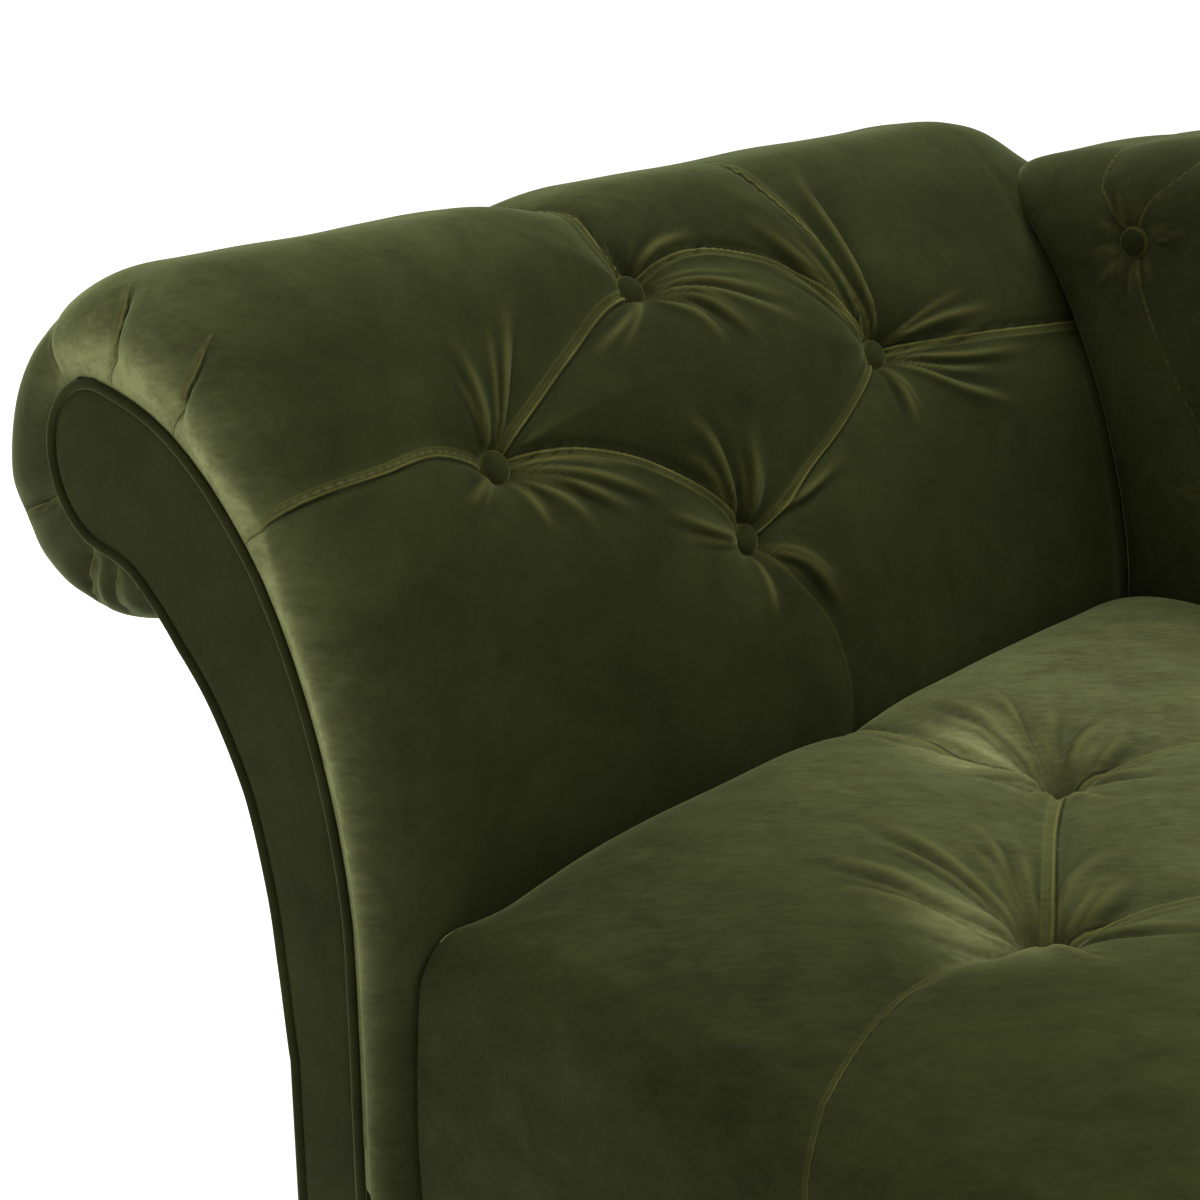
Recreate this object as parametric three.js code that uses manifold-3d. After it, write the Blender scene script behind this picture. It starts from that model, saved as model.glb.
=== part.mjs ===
// A fainting couch: one scroll arm at the head end, a buttoned back that sweeps down to the foot,
// a buttoned seat, and a wooden frame with webbing inside. Millimetres, +Z up.
// While it is built, X = 0 is where the arm meets the seat, Y = 0 is the seat's front face
// and Z = 0 is the floor. The last lines centre the whole couch over its own footprint.
import * as THREE from 'three';
import { mergeVertices } from 'three/addons/utils/BufferGeometryUtils.js';
import Module from 'manifold-3d';

const wasm = await Module();
wasm.setup();

// Driving dimensions of the couch
const seatEdgeHeight = 455;
const seatDepth = 604;
const seatCrown = 24;
const crownReach = 120;
const seatEdgeRadius = 26;
const columnPitch = 178;
const rowPitch = 149;
const headMargin = 118;
const frontMargin = 200;
const seatColumns = 7;
const seatRows = 3;
const legHeight = 150;
const railHeight = 134;
const railThickness = 28;
const stretchers = 2;
const gap = 0.3;
const mergeStep = 0.001;
const overrun = 40;

// The scroll arm: the timber scroll's own line, and the padding round it
const scrollReach = 203;
const scrollRise = 188;
const scrollHeadRadius = 44;
const neckHalfWidth = 25.5;
const innerPadding = 28;
const rollTopPadding = 56;
const rollOuterPadding = 80;
const armFrontInset = 6;
const armFrontRound = 42;
const armRearRound = 130;
const armButtonPitch = 152;
const armRowPitch = 78;
const armFirstButton = 131;
const armLowRowHeight = 122;

// The back
const backThickness = 98;
const backCrest = 322;
const backStart = 150;
const backTopPadding = 45;
const backTopRadius = 48;
const backRearDrop = 31;
const backButtonClearance = 40;
const backRailClearance = 1;
const backPitch = 156;
const backRowPitch = 140;
const backTopRow = 231;
const backFirstButton = -18;

// Sewing: how deep and how wide the pleats and buttons pull in
const seatPleat = { depth: 17, reach: 62 };
const seatButton = { depth: 17, reach: 58 };
const armPleat = { depth: 13, reach: 52 };
const armButton = { depth: 12, reach: 40 };
const backPleat = { depth: 8, reach: 40 };
const backButton = { depth: 9, reach: 36 };

// Smaller parts of the frame, the covers and the feet
const strapWidth = 60;
const strapThickness = 2.5;
const strapMargin = 90;
const crossStraps = 7;
const longStraps = 2;
const deckClothThickness = 1;
const panelThickness = 12;
const boardThickness = 4;
const coverThickness = 3;
const borderThickness = 11.7;
const borderProud = 2;
const weltRadius = 2.6;
const dustClothThickness = 1;
const blockSide = 60;
const blockHeight = 70;
const legTopRadius = 34;
const glideRadius = 12;
const glideHeight = 5;
const boltRadius = 4;
const boltLength = 76;
const postWidth = 45;
const backRailHeight = 70;
const tackRailHeight = 50;
const tackRailThickness = 18;
const rollRailSide = 40;
const buttonRadius = 9.5;
const buttonHeight = 6;

// How finely the round and curved bodies are cut into flats
const buttonSides = 12;
const legSides = 16;
const scrollSteps = 14;
const headSteps = 8;
const weltSteps = 64;
const weltSides = 6;
const edgeArcSteps = 3;
const railSteps = 48;
const postTopSteps = 4;
const armGirthSteps = { foot: 6, row: 4, roll: 16 };
const armLengthSteps = { front: 3, column: 4, rear: 6 };
const seatSteps = { end: 4, column: 3, foot: 3, front: 4, row: 3, rear: 3 };
const backSteps = { head: 4, column: 4, face: 9, top: 4 };

// Shares used by the outlines and the sewing
const stretcherHeightShare = 0.667;
const overRollShare = 0.62;
const sewnGirthShare = 0.9;
const neighbourShare = 0.75;
const middlePostShare = 0.4;
const hollowShares = [[1, 1], [0.5, 0.62]];
const buttonShares = [[0, 0], [0.8, 0], [1, 0.35], [0.85, 0.75], [0.45, 1], [0, 1]];
const frontFaceShares = [0.35, 0.68];
const footRoundShares = [0, 0.55, 0.87, 1];
const backRearShares = [[0.5, 0.02], [0.125, 0.2]];

// Sizes that follow from the driving ones
const seatLength = 2 * headMargin + (seatColumns - 0.5) * columnPitch;
const railTop = legHeight + railHeight;
const crossStrapBase = railTop + gap;
const longStrapBase = crossStrapBase + strapThickness + gap;
const deckClothBase = longStrapBase + strapThickness + gap;
const padBase = deckClothBase + deckClothThickness + gap;
const backFace = seatDepth + gap;
const rearRailFront = backFace + backThickness - railThickness - gap;
const backFrameFront = rearRailFront + railThickness + gap;
const backFrameRear = backFrameFront + railThickness;
const armRise = scrollRise + scrollHeadRadius + rollTopPadding;
const neckCentre = innerPadding + neckHalfWidth;
const scrollLean = scrollReach - neckCentre;
const headReach = neckCentre + scrollHeadRadius + rollOuterPadding;
const footRailFoot = seatLength - borderThickness + borderProud - gap;
const footRailHead = footRailFoot - railThickness;
const frontRailFront = borderThickness + gap;
const frontRailRear = frontRailFront + railThickness;

const velvet = { color: 0x37421f, roughness: 0.85, metalness: 0 };
const velvetDark = { color: 0x2c3519, roughness: 0.9, metalness: 0 };
const timber = { color: 0xb98f5e, roughness: 0.7, metalness: 0 };
const polishedWood = { color: 0x3b2416, roughness: 0.4, metalness: 0 };
const webbing = { color: 0x2b2b2b, roughness: 0.9, metalness: 0 };
const cloth = { color: 0x1b1b1b, roughness: 0.95, metalness: 0 };
const steel = { color: 0x8d8f92, roughness: 0.35, metalness: 1 };
const fibreboard = { color: 0x8a6f4d, roughness: 0.9, metalness: 0 };
const plastic = { color: 0x161616, roughness: 0.5, metalness: 0 };

const couch = new THREE.Group();

function addPart(name, geometry, look) {
  const mesh = new THREE.Mesh(geometry, new THREE.MeshStandardMaterial(look));
  mesh.name = name;
  couch.add(mesh);
}

// Geometry helpers
function boxBetween(x0, x1, y0, y1, z0, z1) {
  const box = new THREE.BoxGeometry(x1 - x0, y1 - y0, z1 - z0);
  return box.translate((x0 + x1) / 2, (y0 + y1) / 2, (z0 + z1) / 2);
}

function solidOf(geometry) {
  const bare = geometry.clone();
  bare.deleteAttribute('normal');
  bare.deleteAttribute('uv');
  const places = bare.attributes.position.array;
  places.forEach((value, i) => {
    places[i] = Math.round(value / mergeStep) * mergeStep;
  });
  const merged = mergeVertices(bare, mergeStep / 2);
  const vertProperties = Float32Array.from(merged.attributes.position.array);
  const corners = [];
  for (let i = 0; i < merged.index.count; i += 3) {
    const triangle = [0, 1, 2].map((k) => merged.index.array[i + k]);
    if (new Set(triangle).size === 3) {
      corners.push(...triangle);
    }
  }
  const triVerts = Uint32Array.from(corners);
  return new wasm.Manifold(new wasm.Mesh({ numProp: 3, vertProperties, triVerts }));
}

function geometryOf(solid) {
  const mesh = solid.getMesh();
  const geometry = new THREE.BufferGeometry();
  geometry.setAttribute('position', new THREE.BufferAttribute(mesh.vertProperties, 3));
  geometry.setIndex(new THREE.BufferAttribute(mesh.triVerts, 1));
  return geometry;
}

// A flat outline of (x, z) points, given a thickness from one y to another.
function plateAlongY(outline, y0, y1) {
  const shape = new THREE.Shape(outline.map((p) => new THREE.Vector2(p.x, p.y)));
  const plate = new THREE.ExtrudeGeometry(shape, { depth: y1 - y0, bevelEnabled: false });
  return plate.rotateX(Math.PI / 2).translate(0, y1, 0);
}

// Closed rings of points joined into one closed body. The flatten function gives each end ring's
// points in a plane, where its cap is cut into triangles. Each four-sided patch is split along the
// diagonal whose corners are pulled in deeper, so that a pleat follows an edge.
function loft(rings, flatten, pull) {
  const count = rings[0].length;
  const positions = rings.flat().flatMap((p) => [p.x, p.y, p.z]);
  const index = [];
  const at = (i, j) => i * count + (j % count);
  for (let i = 0; i + 1 < rings.length; i++) {
    for (let j = 0; j < count; j++) {
      const corners = [at(i, j), at(i + 1, j), at(i + 1, j + 1), at(i, j + 1)];
      const depths = corners.map((k) => pull[Math.floor(k / count)][k % count]);
      const first = depths[0] + depths[2] >= depths[1] + depths[3] ? 0 : 1;
      const [a, b, c, d] = [0, 1, 2, 3].map((k) => corners[(k + first) % 4]);
      index.push(a, b, c, a, c, d);
    }
  }
  const last = (rings.length - 1) * count;
  const ends = [[rings[0], 0, 1], [rings[rings.length - 1], last, -1]];
  for (const [ring, offset, facing] of ends) {
    const flat = ring.map(flatten);
    for (const [a, b, c] of THREE.ShapeUtils.triangulateShape(flat, [])) {
      const sameWay = THREE.ShapeUtils.area([flat[a], flat[b], flat[c]]) * THREE.ShapeUtils.area(flat) > 0;
      const order = sameWay === facing > 0 ? [a, b, c] : [c, b, a];
      index.push(...order.map((k) => offset + k));
    }
  }
  const geometry = new THREE.BufferGeometry();
  geometry.setAttribute('position', new THREE.Float32BufferAttribute(positions, 3));
  geometry.setIndex(index);
  return facingOut(geometry);
}

function facingOut(geometry) {
  const position = geometry.attributes.position;
  const index = geometry.index.array;
  let volume = 0;
  const [a, b, c] = [new THREE.Vector3(), new THREE.Vector3(), new THREE.Vector3()];
  for (let i = 0; i < index.length; i += 3) {
    a.fromBufferAttribute(position, index[i]);
    b.fromBufferAttribute(position, index[i + 1]);
    c.fromBufferAttribute(position, index[i + 2]);
    volume += a.dot(b.cross(c));
  }
  if (volume < 0) {
    index.reverse();
  }
  return geometry;
}

// Sewn tufts: how far a point is pulled in by the pleats and buttons near it
function toSegment(u, v, [u0, v0, u1, v1]) {
  const [du, dv] = [u1 - u0, v1 - v0];
  const along = ((u - u0) * du + (v - v0) * dv) / (du * du + dv * dv);
  const t = Math.min(1, Math.max(0, along));
  return Math.hypot(u - u0 - t * du, v - v0 - t * dv);
}

function falloff(distance, reach) {
  const near = Math.max(0, 1 - distance / reach);
  return near * near;
}

function sewnDepth(u, v, buttons, pleats, pleat, button) {
  const pleatFalls = pleats.map((line) => falloff(toSegment(u, v, line), pleat.reach));
  const buttonFalls = buttons.map(([bu, bv]) => falloff(Math.hypot(u - bu, v - bv), button.reach));
  return pleat.depth * Math.max(0, ...pleatFalls) + button.depth * Math.max(0, ...buttonFalls);
}

// Evenly spaced stations from one value to the next, the last one left out
function stations(from, to, steps) {
  return Array.from({ length: steps }, (_, i) => from + ((to - from) * i) / steps);
}

// The scroll's centre line, from below the seat up into the head, as shares of its rise over the
// seat's edge and of its lean outward from the neck
const scrollShares = [
  [-0.165, 0.02],
  [0.053, 0.044],
  [0.319, 0.124],
  [0.559, 0.264],
  [0.734, 0.424],
  [0.878, 0.612],
  [0.963, 0.792],
  [1, 1],
];
const scrollWidthShares = [0, 0.17, 0.29, 0.4, 0.66, 0.93, 1, 1, 1];

function scrollOutline(grow, bottom) {
  const line = scrollShares.map(([rise, lean]) => {
    return new THREE.Vector2(-neckCentre - lean * scrollLean, seatEdgeHeight + rise * scrollRise);
  });
  line.unshift(new THREE.Vector2(-neckCentre, (seatEdgeHeight + railTop) / 2));
  const curve = new THREE.SplineCurve(line);
  const inner = [new THREE.Vector2(-neckCentre + neckHalfWidth + grow, bottom)];
  const outer = [new THREE.Vector2(-neckCentre - neckHalfWidth - grow, bottom)];
  for (let i = 0; i <= scrollSteps; i++) {
    const t = i / scrollSteps;
    const p = curve.getPoint(t);
    const along = i === 0 ? new THREE.Vector2(0, 1) : curve.getTangent(t);
    const place = t * (scrollWidthShares.length - 1);
    const k = Math.min(Math.floor(place), scrollWidthShares.length - 2);
    const share = THREE.MathUtils.lerp(scrollWidthShares[k], scrollWidthShares[k + 1], place - k);
    const widest = THREE.MathUtils.lerp(neckHalfWidth, scrollHeadRadius, share) + grow;
    inner.push(new THREE.Vector2(p.x + along.y * widest, p.y - along.x * widest));
    outer.push(new THREE.Vector2(p.x - along.y * widest, p.y + along.x * widest));
  }
  const head = [];
  const along = curve.getTangent(1);
  const centre = curve.getPoint(1);
  const start = Math.atan2(-along.x, along.y);
  for (let i = 1; i < headSteps; i++) {
    const angle = start + (Math.PI * i) / headSteps;
    const radius = scrollHeadRadius + grow;
    head.push(new THREE.Vector2(centre.x + Math.cos(angle) * radius, centre.y + Math.sin(angle) * radius));
  }
  return { inner, head, outer: outer.reverse() };
}

function closedScroll(grow, bottom) {
  const { inner, head, outer } = scrollOutline(grow, bottom);
  return [...inner, ...head, ...outer];
}

// Timber of the arm
const scrollFrame = closedScroll(-boardThickness - gap, legHeight);
const frameInner = -neckCentre + neckHalfWidth - boardThickness - gap;
const frameOuter = -neckCentre - neckHalfWidth + boardThickness + gap;
addPart('arm_front_post', plateAlongY(scrollFrame, 0, railThickness), timber);
addPart('arm_rear_post', plateAlongY(scrollFrame, backFrameFront, backFrameRear), timber);

const betweenPosts = [railThickness + gap, backFrameFront - gap];
const tackRailBase = padBase + tackRailThickness;
addPart('arm_tack_rail', boxBetween(
  frameInner - tackRailThickness, frameInner, ...betweenPosts, tackRailBase, tackRailBase + tackRailHeight,
), timber);
const rollCentre = [-scrollReach, seatEdgeHeight + scrollRise];
addPart('arm_roll_rail', boxBetween(
  rollCentre[0] - rollRailSide / 2, rollCentre[0] + rollRailSide / 2, ...betweenPosts,
  rollCentre[1] - rollRailSide / 2, rollCentre[1] + rollRailSide / 2,
), timber);

// A bent board goes up the arm's inside and round the scroll's head; the outside board closes the
// other face from the floor of the frame up to the head.
const underHeadCount = 6;
function bandBetween(outside, inside) {
  return [...outside, ...inside.reverse()];
}
const skin = scrollOutline(0, padBase);
const lining = scrollOutline(-boardThickness, padBase);
const underHead = [skin.outer.slice(0, underHeadCount), lining.outer.slice(0, underHeadCount)];
addPart('arm_bent_board', plateAlongY(
  bandBetween(
    [...skin.inner, ...skin.head, ...underHead[0]],
    [...lining.inner, ...lining.head, ...underHead[1]],
  ),
  0, backFrameRear,
), fibreboard);
const lowSkin = scrollOutline(0, legHeight);
const lowLining = scrollOutline(-boardThickness, legHeight);
addPart('arm_outside_cover', plateAlongY(
  bandBetween(lowSkin.outer.slice(underHeadCount + 1), lowLining.outer.slice(underHeadCount + 1)),
  0, backFrameRear,
), velvet);
addPart('arm_front_panel', plateAlongY(closedScroll(0, legHeight), -panelThickness - gap, -gap), velvet);
addPart('arm_rear_panel', plateAlongY(
  closedScroll(0, legHeight), backFrameRear + gap, backFrameRear + gap + coverThickness,
), velvet);

// The cord that trims the front panel, laid along the panel's edge
const weltPath = closedScroll(-weltRadius, legHeight + weltRadius).map((p) => {
  return new THREE.Vector3(p.x, -panelThickness - 2 * gap - weltRadius, p.y);
});
const weltSection = new THREE.Shape(Array.from({ length: weltSides }, (_, i) => {
  const angle = (2 * Math.PI * i) / weltSides;
  return new THREE.Vector2(Math.cos(angle) * weltRadius, Math.sin(angle) * weltRadius);
}));
addPart('arm_front_welt', new THREE.ExtrudeGeometry(weltSection, {
  steps: weltSteps,
  extrudePath: new THREE.CatmullRomCurve3(weltPath, false, 'centripetal'),
}), velvetDark);

// Padding of the arm: its outline in section. Each point has its share of the scroll's lean, its
// share of the padded head's reach beyond that, and its share of the arm's rise. The inside face
// leans with the timber, so that the padding keeps its thickness.
const armSectionShares = [
  [0, 0, 0],
  [0.105, -0.0366, 0.215],
  [0.25, -0.058, 0.417],
  [0.444, -0.098, 0.583],
  [0.717, -0.171, 0.743],
  [0.95, -0.168, 0.889],
  [1, -0.054, 0.965],
  [1, 0.088, 1],
  [1, 0.285, 0.983],
  [1, 0.453, 0.955],
  [1, 0.633, 0.896],
  [1, 0.803, 0.809],
  [1, 0.926, 0.705],
  [1, 0.994, 0.583],
  [1, 1, 0.486],
  [1, 0.926, 0.403],
  [1, 0.792, 0.344],
  [1, 0.623, 0.319],
  [1, 0.442, 0.323],
  [1, 0.296, 0.351],
  [1, 0.211, 0.401],
];
const armSection = new THREE.SplineCurve([
  new THREE.Vector2(0, padBase),
  ...armSectionShares.map(([lean, reach, rise]) => {
    return new THREE.Vector2(-lean * scrollLean - reach * headReach, seatEdgeHeight + rise * armRise);
  }),
]);
armSection.arcLengthDivisions = 400;
const armGirth = armSection.getLength();

// The point of the section at a length of cloth, and the way out of the padding there
function armPoint(girth) {
  const p = armSection.getPointAt(girth / armGirth);
  const along = armSection.getTangentAt(girth / armGirth);
  return { p: p.setX(Math.min(p.x, 0)), out: new THREE.Vector2(along.y, -along.x) };
}

// Where along the section the sewn rows lie, measured as cloth from the bottom of the inside face
function girthAtHeight(height) {
  const steps = 200;
  for (let i = 0; i <= steps; i++) {
    if (armSection.getPointAt(i / steps).y >= height) {
      return (armGirth * i) / steps;
    }
  }
  return armGirth;
}
const armRows = [0, 1, 2].map((k) => girthAtHeight(seatEdgeHeight + armLowRowHeight) + k * armRowPitch);
const armColumns = [0, 1, 2].map((k) => armFirstButton + k * armButtonPitch);
const armButtons = [
  [armColumns[1], armRows[0]],
  [armColumns[0], armRows[1]],
  [armColumns[2], armRows[1]],
  [armColumns[1], armRows[2]],
];
const [lowButton, frontButton, rearButton, highButton] = armButtons;
const overRoll = armGirth * overRollShare;
const armPleats = [
  [...lowButton, ...frontButton],
  [...lowButton, ...rearButton],
  [...frontButton, ...highButton],
  [...rearButton, ...highButton],
  [...lowButton, lowButton[0], 0],
  [...highButton, highButton[0], overRoll],
  [...frontButton, 0, frontButton[1]],
  [...rearButton, backFace, rearButton[1]],
  [...rearButton, rearButton[0], overRoll],
];

// Shares of the way from the panel's edge out to the full padding, near the arm's two ends
const armFrontShares = [[0, 0.16], [0.12, 0.55], [0.45, 0.86], [1, 1]];
const armRearShares = [[0, 0.1], [0.1, 0.28], [0.3, 0.5], [0.6, 0.8], [1, 1]];
const panelEdge = closedScroll(boardThickness, padBase);

function nearestOnPanel(p) {
  return panelEdge.reduce((best, q) => (q.distanceTo(p) < best.distanceTo(p) ? q : best));
}

function armRing(y, fullness) {
  const girths = [
    ...stations(0, armRows[0], armGirthSteps.foot),
    ...stations(armRows[0], armRows[1], armGirthSteps.row),
    ...stations(armRows[1], armRows[2], armGirthSteps.row),
    ...stations(armRows[2], armGirth, armGirthSteps.roll),
    armGirth,
  ];
  const ring = [];
  const pulls = [];
  for (const girth of girths) {
    const { p, out } = armPoint(girth);
    const depth = sewnDepth(y, girth, armButtons, armPleats, armPleat, armButton);
    const low = girth / armGirth > sewnGirthShare ? 0 : depth;
    const edge = nearestOnPanel(p);
    const held = edge.clone().lerp(p.clone().addScaledVector(out, -low), fullness);
    held.y = Math.max(held.y, padBase);
    if (girth === 0) {
      held.set(edge.x + (p.x - edge.x) * fullness, padBase);
    }
    ring.push(new THREE.Vector3(held.x, y, held.y));
    pulls.push(low);
  }
  // The ring closes through the middle of the timber, which is cut away afterwards.
  const middle = [
    ...hollowShares.map(([reach, rise]) => {
      return new THREE.Vector2(-scrollReach * reach, seatEdgeHeight + scrollRise * rise);
    }),
    new THREE.Vector2(-neckCentre, seatEdgeHeight),
    new THREE.Vector2(-neckCentre, padBase),
  ];
  for (const p of middle) {
    ring.push(new THREE.Vector3(p.x, y, p.y));
    pulls.push(0);
  }
  return { ring, pulls };
}

const armFrontEnd = -armFrontInset + armFrontRound;
const armRearPlan = armRearShares.map(([share, full]) => {
  return [backFrameRear - share * armRearRound, full];
}).reverse();
const armPlan = [
  ...armFrontShares.map(([share, full]) => [-armFrontInset + share * armFrontRound, full]),
  ...stations(armFrontEnd, armColumns[0], armLengthSteps.front).slice(1).map((y) => [y, 1]),
  ...stations(armColumns[0], armColumns[1], armLengthSteps.column).map((y) => [y, 1]),
  ...stations(armColumns[1], armColumns[2], armLengthSteps.column).map((y) => [y, 1]),
  ...stations(armColumns[2], backFrameRear - armRearRound, armLengthSteps.rear).map((y) => [y, 1]),
  ...armRearPlan,
];
const armRings = armPlan.map(([y, full]) => armRing(y, full));
const inXZ = (p) => new THREE.Vector2(p.x, p.z);
const armSolid = solidOf(loft(armRings.map((r) => r.ring), inXZ, armRings.map((r) => r.pulls)));
const armCore = solidOf(plateAlongY(
  closedScroll(gap, padBase - overrun), -panelThickness - overrun, backFrameRear + overrun,
));
let armPadding = armSolid.subtract(armCore);

// Buttons of the arm, each in a pocket of its own at the bottom of its dimple
function buttonGeometry() {
  const points = buttonShares.map(([r, h]) => new THREE.Vector2(r * buttonRadius, h * buttonHeight));
  return new THREE.LatheGeometry(points, buttonSides);
}
const buttonNames = ['low', 'front', 'rear', 'high'];
armButtons.forEach(([y, girth], k) => {
  const { p, out } = armPoint(girth);
  const sunk = armPleat.depth + armButton.depth - gap;
  const normal = new THREE.Vector3(out.x, 0, out.y);
  const turn = new THREE.Quaternion().setFromUnitVectors(new THREE.Vector3(0, 1, 0), normal);
  const place = (piece, lift) => {
    const offset = normal.clone().multiplyScalar(lift - sunk);
    return piece.applyQuaternion(turn).translate(p.x + offset.x, y, p.y + offset.z);
  };
  const geometry = place(buttonGeometry(), 0);
  const bore = buttonRadius + gap;
  const pocket = place(new THREE.CylinderGeometry(bore, bore, overrun, buttonSides), overrun / 2 - gap);
  armPadding = armPadding.subtract(solidOf(pocket));
  addPart(`arm_button_${buttonNames[k]}`, geometry, velvetDark);
});

addPart('arm_pad', geometryOf(armPadding), velvet);

// Seat frame
addPart('head_rail', boxBetween(
  frameOuter, frameOuter + railThickness, railThickness + gap, backFrameFront - gap, legHeight, railTop,
), timber);
const headRailInner = frameOuter + railThickness + gap;
addPart('front_rail', boxBetween(
  frameInner + gap, footRailFoot, frontRailFront, frontRailRear, legHeight, railTop,
), timber);
addPart('rear_rail', boxBetween(
  headRailInner, footRailHead - gap, rearRailFront, rearRailFront + railThickness, legHeight, railTop,
), timber);
addPart('foot_rail', boxBetween(
  footRailHead, footRailFoot, frontRailRear + gap, backFrameFront - gap, legHeight, railTop,
), timber);
for (let k = 1; k <= stretchers; k++) {
  const x = (seatLength * k) / (stretchers + 1);
  addPart(`seat_stretcher_${k}`, boxBetween(
    x - railThickness / 2, x + railThickness / 2, frontRailRear + gap, rearRailFront - gap,
    legHeight, legHeight + railHeight * stretcherHeightShare,
  ), timber);
}

// Corners: a glue block inside each, with a turned leg bolted up into it
const corners = [
  ['front_head', headRailInner, 1, frontRailRear + gap, 1],
  ['front_foot', footRailHead - gap, -1, frontRailRear + gap, 1],
  ['rear_head', headRailInner, 1, rearRailFront - gap, -1],
  ['rear_foot', footRailHead - gap, -1, rearRailFront - gap, -1],
];
const legShares = [
  [0, 0],
  [0.44, 0],
  [0.5, 0.06],
  [0.42, 0.14],
  [0.62, 0.5],
  [0.9, 0.78],
  [0.8, 0.86],
  [1, 0.92],
  [1, 1],
  [0, 1],
];
const legBase = glideHeight + gap;
const legBody = legHeight - gap - legBase;
const legCentres = [];
for (const [name, x, sx, y, sy] of corners) {
  const [x0, x1] = [Math.min(x, x + sx * blockSide), Math.max(x, x + sx * blockSide)];
  const [y0, y1] = [Math.min(y, y + sy * blockSide), Math.max(y, y + sy * blockSide)];
  const [cx, cy] = [(x0 + x1) / 2, (y0 + y1) / 2];
  legCentres.push([cx, cy]);
  const upright = (radius, height) => {
    return new THREE.CylinderGeometry(radius, radius, height, legSides).rotateX(Math.PI / 2);
  };
  const hole = solidOf(upright(boltRadius + gap, boltLength + 2 * gap).translate(cx, cy, legHeight));
  const block = solidOf(boxBetween(x0, x1, y0, y1, legHeight, legHeight + blockHeight));
  addPart(`corner_block_${name}`, geometryOf(block.subtract(hole)), timber);
  const turned = new THREE.LatheGeometry(
    legShares.map(([r, h]) => new THREE.Vector2(r * legTopRadius, h * legBody)), legSides,
  ).rotateX(Math.PI / 2).translate(cx, cy, legBase);
  addPart(`leg_${name}`, geometryOf(solidOf(turned).subtract(hole)), polishedWood);
  addPart(`leg_bolt_${name}`, upright(boltRadius, boltLength).translate(cx, cy, legHeight), steel);
  addPart(`glide_${name}`, upright(glideRadius, glideHeight).translate(cx, cy, glideHeight / 2), plastic);
}

// Webbing and cloth under the seat padding
for (let k = 1; k <= crossStraps; k++) {
  const reach = seatLength - 2 * strapMargin;
  const x = strapMargin + (reach * (k - 1)) / (crossStraps - 1);
  addPart(`cross_strap_${k}`, boxBetween(
    x - strapWidth / 2, x + strapWidth / 2, frontRailFront, rearRailFront + railThickness,
    crossStrapBase, crossStrapBase + strapThickness,
  ), webbing);
}
for (let k = 1; k <= longStraps; k++) {
  const y = frontRailRear + ((rearRailFront - frontRailRear) * k) / (longStraps + 1);
  addPart(`long_strap_${k}`, boxBetween(
    frameOuter, footRailFoot, y - strapWidth / 2, y + strapWidth / 2,
    longStrapBase, longStrapBase + strapThickness,
  ), webbing);
}
addPart('deck_cloth', boxBetween(
  gap, footRailFoot, frontRailFront, backFace + backThickness - gap, deckClothBase,
  deckClothBase + deckClothThickness,
), cloth);

// Seat pad: sewn in a diamond, with straight pleats from the outer rows to the front and the ends
const seatButtons = [];
for (let row = 0; row < seatRows; row++) {
  const shift = row % 2 === 0 ? columnPitch / 2 : 0;
  for (let column = 0; column < seatColumns; column++) {
    seatButtons.push([headMargin + shift + column * columnPitch, frontMargin + row * rowPitch]);
  }
}
const seatPleats = [];
seatButtons.forEach(([x, y], k) => {
  const row = Math.floor(k / seatColumns);
  const column = k % seatColumns;
  for (const [bx, by] of seatButtons) {
    const nextRow = by > y && by - y < rowPitch / neighbourShare;
    if (nextRow && Math.abs(bx - x) < columnPitch * neighbourShare) {
      seatPleats.push([x, y, bx, by]);
    }
  }
  const frontRow = row === 0;
  const rearRow = row === seatRows - 1;
  if (frontRow) {
    seatPleats.push([x, y, x, -seatEdgeHeight]);
  }
  if (rearRow) {
    seatPleats.push([x, y, x, seatDepth]);
  }
  if (row % 2 === 1 && column === 0) {
    seatPleats.push([x, y, 0, y]);
  }
  if (row % 2 === 0 && column === seatColumns - 1) {
    seatPleats.push([x, y, seatLength, y]);
  }
});

function footDrop(x) {
  const past = Math.max(0, x - (seatLength - seatEdgeRadius));
  return seatEdgeRadius - Math.sqrt(Math.max(0, seatEdgeRadius ** 2 - past ** 2));
}

function seatTop(x, y) {
  const fromEdge = Math.min(x, seatLength - x, y);
  const rise = Math.min(1, Math.max(0, fromEdge / crownReach));
  return seatEdgeHeight + seatCrown * Math.sqrt(rise) - footDrop(x);
}

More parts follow.
